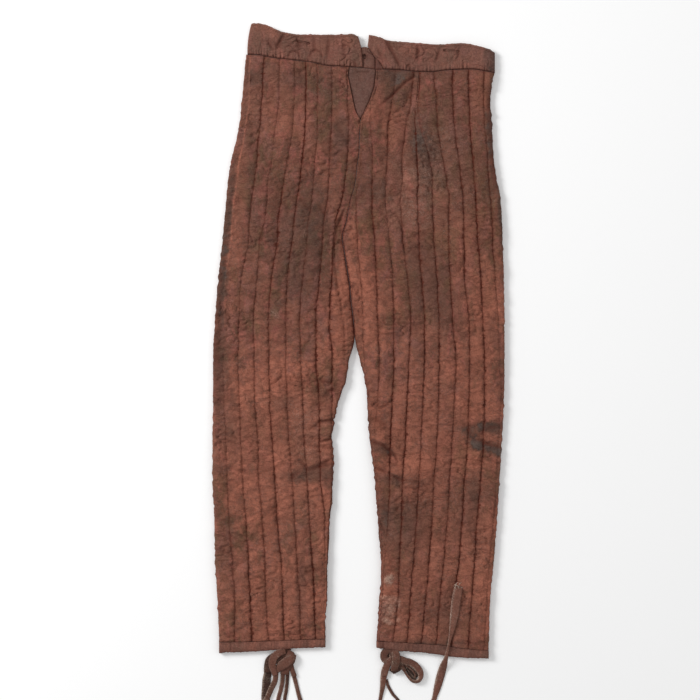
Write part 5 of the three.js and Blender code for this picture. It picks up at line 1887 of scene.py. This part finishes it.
class TapeMaker(Strands):
    """Lays lengths of folded tape and their loose threads."""

    SIDES = 16
    THREAD_SIDES = 4
    FRAY_WIDTH = 0.42

    def strip(
        self,
        rows: Sequence[TapeRow],
        seed: float,
        wall: float = TAPE_WALL,
        soil: float = 0.2,
        per_row: int = 10,
        on_edge: float = 0.0,
        glow: float = 0.0,
        highlight: float = 0.6,
    ) -> None:
        """Add one length of tape.

        Args:
            rows: Rows of its route.
            seed: Picks its wrinkles.
            wall: Its thickness.
            soil: How dark it is, from soil and painted shade.
            per_row: Steps from one row to the next.
            on_edge: Height that a tape on its edge has in place of its thickness, or 0.
            glow: How red and light its first half is.
            highlight: How strong the painted highlight on its lit edge is.
        """
        route = smooth_route(rows, per_row)
        count = len(route) - 1
        rings = []
        for i, (x, y, z, width) in enumerate(route):
            here = Vector((x, y, z))
            ahead = Vector(route[min(count, i + 1)][:3]) - Vector(route[max(0, i - 1)][:3])
            along = ahead.normalized()
            across = Vector((-along.y, along.x, 0)).normalized()
            up = along.cross(across) * -1
            if up.z < 0:
                up.negate()
            folded = 1 + 0.7 * max(0.0, 1 - width / 11)
            thick = on_edge or wall * folded
            ring = []
            for k in range(self.SIDES):
                turn = math.tau * k / self.SIDES
                c, s = math.cos(turn), math.sin(turn)
                side = math.copysign(abs(c) ** 0.8, c)
                rise = math.copysign(abs(s) ** 0.45, s)
                crease = 0.0
                if s > 0.1:
                    depth = 0.34 + 0.2 * ripple(i * 0.15, seed, 4)
                    crease = depth * bell(side - 0.25, 0.16)
                    crease += 0.24 * bell(side + 0.72, 0.12)
                wave = 0.16 * ripple(i * 0.34, side * 1.6, seed) if s > 0 else 0.0
                edge = width / 2 * (1 + 0.06 * ripple(i * 0.5, seed, c))
                point = here + across * side * edge
                point += up * (rise * thick / 2 - crease * min(1.7, thick / 1.5) + wave)
                vert = self._bm.verts.new(point)
                vert[self._layers["across"]] = 0.5
                # Painted shade in the creases along the tape and on one side of it, on top of the tape's own
                # soil.
                vert[self._layers["fold"]] = 1.7 * crease
                vert[self._layers["soil"]] = soil + 0.9 * max(0.0, side - 0.6) + 1.8 * crease
                vert[self._layers["glow"]] = glow * max(0.0, 1 - 2 * i / count)
                # Painted highlight along the tape's other edge.
                lit_edge = bell(side + 0.86, 0.14) if s > 0 else 0.0
                vert[self._layers["worn"]] = highlight * lit_edge
                ring.append(vert)
            rings.append(ring)
        self._skin(rings)

    def thread(self, points: Sequence[Sequence[float]], width: float, worn: float = 0.0) -> None:
        """Add a loose thread.

        Args:
            points: Points along it, in millimetres.
            width: Its thickness.
            worn: How pale it is.
        """
        rings = []
        for i, point in enumerate(points):
            here = Vector(point)
            after, before = points[min(len(points) - 1, i + 1)], points[max(0, i - 1)]
            along = (Vector(after) - Vector(before)).normalized()
            across = Vector((-along.y, along.x, 0)).normalized()
            up = along.cross(across)
            taper = 1.0 if i < len(points) - 1 else 0.4
            ring = []
            for k in range(self.THREAD_SIDES):
                turn = math.tau * k / self.THREAD_SIDES
                offset = across * math.cos(turn) + up * math.sin(turn)
                vert = self._bm.verts.new(here + offset * width / 2 * taper)
                vert[self._layers["worn"]] = worn
                ring.append(vert)
            rings.append(ring)
        self._skin(rings)

    def fray(self, end: TapeRow, before: TapeRow, seed: float, worn: float = 0.0, count: int = 9) -> None:
        """Add the loose threads of a cut end.

        Args:
            end: The route's last row.
            before: The row before it.
            seed: Picks the threads.
            worn: How pale they are.
            count: How many.
        """
        along = (Vector(end[:3]) - Vector(before[:3])).normalized()
        across = Vector((-along.y, along.x, 0)).normalized()
        for k in range(count):
            place = (k + 0.5) / count - 0.5
            start = Vector(end[:3]) + across * place * end[3] * 0.92 - along * 0.6
            bend = 1.6 * ripple(k * 1.9, seed, 2)
            length = 2.6 + 2.4 * abs(ripple(k * 2.7, seed, 9))
            points = [
                start + along * length * t + across * bend * t * t + Vector((0, 0, 0.2 * t))
                for t in (0, 0.35, 0.7, 1)
            ]
            self.thread(points, self.FRAY_WIDTH, worn)

LOOP_HEIGHT = 5.0  # the bow loop stands on its edge
# Loose threads where the tape is sewn to the leg.
SEWN_END_THREADS = (
    ((161, -396, 13.6), (158, -391, 14.0), (154, -389, 13.8), (152, -393, 13.2)),
    ((160, -395, 13.6), (161, -388, 14.2), (165, -386, 13.8)),
    ((157, -397, 13.8), (154, -394, 14.2), (156, -388, 14.0), (159, -385, 13.4)),
)
# Dark strips painted as the shade inside the bow loop, which shows between its two limbs.
LOOP_SHADE_STRIPS = (
    (
        (73, -518.5, 3.0, 3.5), (82, -520.5, 3.0, 4), (88.5, -525, 3.0, 4), (93, -531, 3.0, 4),
        (94.5, -538, 3.0, 3.5),
    ),
    (
        (93, -541.5, 3.0, 4), (89, -541.5, 3.0, 4.5), (83.5, -536.5, 3.0, 4.5), (78, -529, 3.0, 4),
        (74, -522, 3.0, 4),
    ),
)
# Lengths of tape wrapped in each knot, lowest first: thickness, how dark it is, then rows as in a tie.
KNOT_WRAPS: dict[str, tuple[Wrap, ...]] = {
    "knot_left": (
        (3.4, 0.6, (
            (-118, -494, 3.0, 20), (-118, -500, 4.0, 19), (-118, -508, 4.2, 20), (-120, -516, 3.4, 19),
        )),
        (2.4, 0.9, (
            (-124, -500, 3.8, 9), (-134, -504, 4.0, 10), (-143, -511, 3.4, 11), (-145.6, -520, 3.0, 11.5),
            (-146, -532, 2.6, 12),
        )),
        (2.4, 0.2, (
            (-109, -514, 4.6, 9), (-108, -521, 4.0, 8), (-106, -529, 3.2, 8), (-102.5, -538, 2.6, 7.5),
        )),
        (3.0, 0.3, (
            (-114, -500, 5.6, 12), (-107.5, -504, 6.4, 12), (-107, -511, 6.4, 12), (-111, -518, 5.4, 12),
            (-117, -526, 4.4, 14), (-118.5, -535, 2.7, 14.5),
        )),
        (2.2, 0.9, (
            (-124, -505, 5.2, 9), (-127, -511, 5.6, 10), (-130, -518, 4.6, 9),
        )),
        (2.0, 0.15, (
            (-104, -501.5, 5.6, 10), (-108, -508.5, 7.6, 14.5), (-117, -515.5, 8.2, 16),
            (-126.5, -523, 6.4, 13.5), (-131.5, -529.5, 4.4, 9),
        )),
        (1.8, 0.0, (
            (-117, -497, 6.2, 9), (-127, -499.5, 8.2, 11.5), (-135.5, -507, 9.0, 12.5),
            (-138, -517.5, 8.0, 12), (-136, -528, 6.0, 10), (-133.6, -536, 4.6, 8),
        )),
    ),
    "knot_right": (
        # This lowest wrap lies inside the bow loop, painted dark as the shade in the loop's opening.
        (1.8, 1.3, (
            (69, -517, 2.2, 6), (76.5, -522.5, 2.2, 9), (84, -529.5, 2.2, 12), (90.5, -535.5, 2.2, 11),
            (94.5, -539.5, 2.2, 6),
        )),
        (1.6, 0.35, (
            (72, -519, 4.2, 2.6), (80, -523, 4.2, 2.8), (87, -529, 4.2, 2.8), (91, -536, 4.0, 2.6),
            (89.5, -540, 3.8, 2.4),
        )),
        (3.4, 0.6, (
            (57, -491, 3.0, 13), (56, -499, 4.2, 14), (56, -508, 4.4, 14), (55, -516, 3.6, 13),
        )),
        (2.2, 1.0, (
            (48, -498, 3.0, 13), (48, -505, 3.2, 14), (50, -512, 3.2, 12),
        )),
        (2.4, 0.4, (
            (56, -497, 4.8, 9), (48, -495.5, 5.4, 11), (41.5, -501, 5.4, 12), (41.5, -509, 5.0, 12),
            (47, -514, 4.8, 11), (54, -515, 4.6, 9),
        )),
        (2.6, 0.1, (
            (56, -508, 5.4, 10), (50, -513.5, 5.2, 11), (45.5, -521, 4.4, 11.5), (42.4, -529, 4.0, 11.5),
            (40.8, -537, 4.0, 11),
        )),
        (2.4, 1.0, (
            (68, -521, 4.2, 9), (63, -526, 5.6, 9), (57, -528, 5.2, 9), (51, -525, 4.0, 8),
        )),
        (2.6, 0.1, (
            (58, -509, 6.6, 11), (66, -510, 7.4, 12), (74, -513, 7.0, 12), (80, -515.5, 6.4, 11),
        )),
        (2.4, 0.5, (
            (60, -517, 5.6, 9), (66, -519, 6.2, 9), (71, -524, 5.6, 7), (75, -530, 5.0, 5),
        )),
        (3.0, 0.15, (
            (57, -495.5, 5.0, 12), (60, -503, 8.4, 13), (60.5, -512, 9.0, 13.5), (58.5, -521, 8.0, 12.5),
            (58, -528, 5.0, 11), (60, -532, 2.8, 9),
        )),
    ),
}


def tape_piece(tie: Tie, seed: float, material: Material) -> Piece:
    """Args:
        tie: The tape.
        seed: Picks its wrinkles.
        material: Its cloth.

    Returns:
        The piece.
    """
    maker = TapeMaker()
    is_loop = tie.node.endswith("loop")
    is_sewn = tie.node == "leg_tape"
    on_edge = LOOP_HEIGHT if is_loop else 0.0
    maker.strip(tie.rows, seed, soil=tie.soil, on_edge=on_edge, glow=0.9 if is_sewn else 0.0)
    if is_loop:
        # Painted shade inside the bow loop.
        for rows in LOOP_SHADE_STRIPS:
            maker.strip(rows, 23.0, soil=1.1)
    else:
        maker.fray(tie.rows[-1], tie.rows[-2], seed)
    if is_sewn:
        maker.fray(tie.rows[0], tie.rows[1], 17.0, worn=2.0, count=12)
        for points in SEWN_END_THREADS:
            maker.thread(points, 0.8, 3.0)
    piece = maker.finish(f"{tie.node}_cloth", material)
    route = smooth_route(tie.rows, 4)
    points = [tuple(value * MM for value in row[:3]) for row in route]
    length = sum((Vector(b) - Vector(a)).length for a, b in zip(points, points[1:]))
    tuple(points[0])
    return piece


def knot_piece(node: str, material: Material) -> Piece:
    """Build a knot from its wraps of tape.

    Args:
        node: The knot's node.
        material: Its cloth.

    Returns:
        The piece.
    """
    maker = TapeMaker()
    for i, (wall, soil, rows) in enumerate(KNOT_WRAPS[node]):
        maker.strip(rows, 30.0 + i, wall=wall, soil=soil, per_row=12, highlight=0.2)
    return maker.finish(f"{node}_cloth", material)


# ---- Stage --------------------------------------------------------------------------------------
def build_floor() -> None:
    """Lay the pale floor."""
    bm = bmesh.new()
    bmesh.ops.create_grid(bm, x_segments=8, y_segments=8, size=4.0)
    bmesh.ops.translate(bm, vec=Vector((0, 0, -0.0002)), verts=bm.verts)
    mesh = bpy.data.meshes.new("floor")
    bm.to_mesh(mesh)
    bm.free()
    material = bpy.data.materials.new("floor")
    material.use_nodes = True
    shader = material.node_tree.nodes["Principled BSDF"]
    shader.inputs["Base Color"].default_value = (0.93, 0.93, 0.93, 1)
    shader.inputs["Roughness"].default_value = 0.95
    shader.inputs["Specular IOR Level"].default_value = 0.0
    shader.inputs["Emission Color"].default_value = (1, 1, 1, 1)
    shader.inputs["Emission Strength"].default_value = 0.1
    mesh.materials.append(material)
    floor = bpy.data.objects.new("floor", mesh)
    bpy.context.scene.collection.objects.link(floor)


@dataclass(frozen=True)
class Lamp:
    """A soft square lamp: where it hangs, what it is turned to, its side and its power."""

    name: str
    place: tuple[float, float, float]
    side: float
    power: float

    def build(self) -> None:
        """Hang the lamp."""
        light = bpy.data.lights.new(self.name, "AREA")
        light.size = self.side
        light.energy = self.power
        lamp = bpy.data.objects.new(self.name, light)
        lamp.location = self.place
        lamp.rotation_euler = (-Vector(self.place)).to_track_quat("-Z", "Y").to_euler()
        bpy.context.scene.collection.objects.link(lamp)


LAMPS = (
    Lamp("lamp_left", (-2.6, 1.3, 1.8), 1.2, 96.0),
    Lamp("lamp_right", (2.4, 0.8, 2.2), 2.6, 14.0),
)
WORLD_LIGHT = 0.48


def build_light() -> None:
    """Set the room's light and hang the lamps."""
    world = bpy.data.worlds.new("room")
    world.use_nodes = True
    background = world.node_tree.nodes["Background"]
    background.inputs["Color"].default_value = (1, 1, 1, 1)
    background.inputs["Strength"].default_value = WORLD_LIGHT
    bpy.context.scene.world = world
    bpy.context.scene.view_settings.view_transform = "Standard"
    for lamp in LAMPS:
        lamp.build()


def build_camera() -> None:
    """Hang the camera straight above the garment."""
    data = bpy.data.cameras.new("camera")
    data.lens = LENS
    data.sensor_width = SENSOR
    camera = bpy.data.objects.new("camera", data)
    distance = PICTURE_SIDE * LENS / SENSOR
    camera.location = Vector((*PICTURE_CENTRE, distance + 10)) * MM
    bpy.context.scene.collection.objects.link(camera)
    bpy.context.scene.camera = camera


# ---- The garment --------------------------------------------------------------------------------
def place_piece(piece: Piece, slot: str, *nodes: str) -> None:
    """Join a piece to the frame.

    Args:
        piece: The piece.
        slot: The record's material slot; not used.
        nodes: The nodes that it stands for.
    """
    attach(piece, BODY)
    if nodes:
        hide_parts(*nodes)


def build_legs(legs: Sequence[Leg], cloth: Material, thread: Material) -> None:
    """Args:
        legs: The legs.
        cloth: Quilted cloth.
        thread: Sewing thread.
    """
    for leg in legs:
        name = leg.side.name.lower()
        pen = ThreadPen()
        leg.stitching(pen)
        stitches = pen.finish(f"quilting_{name}", thread)
        place_piece(stitches, "quilted_cloth")
        front = leg.front_panel(cloth)
        place_piece(front, "quilted_cloth", f"leg_{name}_front")
        back = leg.back_panel(cloth)
        place_piece(back, "quilted_cloth", f"leg_{name}_back")


def build_waist(legs: Sequence[Leg], cloth: Material, thread: Material) -> None:
    """Args:
        legs: The legs, left first.
        cloth: Plain cloth.
        thread: Sewing thread.
    """
    fronts = {"left": (BAND_LEFT_END, NOTCH_LEFT_TOP - GAP), "right": (17.5, BAND_RIGHT_END)}
    for half in BAND_HALVES:
        side = half.name.split("_")[1]
        front = band_front(f"waistband_{side}_front", *fronts[side], cloth)
        place_piece(front, "plain_cloth", f"band_{side}_front")
        pen = ThreadPen()
        band_stitches(half, pen)
        stitches = pen.finish(f"band_stitches_{side}", thread)
        place_piece(stitches, "plain_cloth")
        back = half.build(cloth)
        place_piece(back, "plain_cloth", f"band_{side}_back")
    under = bridge_front(cloth)
    place_piece(under, "plain_cloth", "band_bridge_front")
    over = bridge_back(cloth)
    place_piece(over, "plain_cloth", "band_bridge_back")
    gusset = vent_gusset(*legs, cloth)
    place_piece(gusset, "plain_cloth", "vent_gusset")


def band_stitches(half: BandHalf, pen: ThreadPen) -> None:
    """Lay a band half's stitches: its top edge, its seam, and its buttonhole.

    Args:
        half: The half.
        pen: Lays the stitches.
    """

    def surface(x: float, y: float) -> Spot:
        """Return the band's point at a place."""
        share = (y - WAIST(x) - GAP / 2) / (BAND_EDGE(x) - WAIST(x) - GAP / 2)
        start, end = half.ends(share)
        return half.spot((x - start) / (end - start), share)

    def top_row(distance: float) -> Vector:
        """Return a point of the row along the top edge."""
        x = first + 3 + distance
        return surface(x, BAND_EDGE(x) - TOP_STITCH_INSET).place + Vector((0, 0, STITCH_LIFT))

    first, last = half.ends(0.92)
    pen.seam(top_row, last - first - 6, pitch=3.6, stitch=2.5, width=0.5)
    for hole in BUTTONHOLES:
        if half.ends(0.5)[0] < hole.centre[0] < half.ends(0.5)[1]:
            hole.stitches(pen, lambda x, y: surface(x, y).place.z)
    if half.ends(0.5)[1] > 200:
        for inset in END_STITCH_INSETS:

            def end_row(distance: float, inset: float = inset) -> Vector:
                """Return a point of a row at the right end."""
                x = BAND_RIGHT_END - inset
                return surface(x, WAIST(x) + 3 + distance).place + Vector((0, 0, STITCH_LIFT))

            pen.seam(end_row, 26.0, pitch=2.8, stitch=2.1, width=0.5)


def build_hems(legs: Sequence[Leg], cloth: Material) -> None:
    """Args:
        legs: The legs.
        cloth: Plain cloth.
    """
    for leg in legs:
        name = leg.side.name.lower()
        under = hem_binding(leg, False, cloth)
        place_piece(under, "plain_cloth", f"hem_{name}_front")
        over = hem_binding(leg, True, cloth)
        place_piece(over, "plain_cloth", f"hem_{name}_back")


def build_ties(cloth: Material) -> None:
    """Args:
        cloth: Tape cloth.
    """
    for node in KNOT_WRAPS:
        place_piece(knot_piece(node, cloth), "tie_tape", node)
    for seed, tie in enumerate(TIES, start=1):
        place_piece(tape_piece(tie, seed, cloth), "tie_tape", tie.node)


def main() -> None:
    """Build the whole scene on the frame."""
    logging.basicConfig(level=logging.INFO, format="%(name)s: %(message)s")
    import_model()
    build_camera()
    build_floor()
    build_light()
    groups = Groups.build()
    quilted, plain, tape, thread = (cloth_material(look, groups) for look in (QUILTED, PLAIN, TAPE, THREAD))
    legs = (Leg(Side.LEFT), Leg(Side.RIGHT))
    build_ties(tape)
    build_legs(legs, quilted, thread)
    build_waist(legs, plain, thread)
    build_hems(legs, plain)


if __name__ == "__main__":
    main()
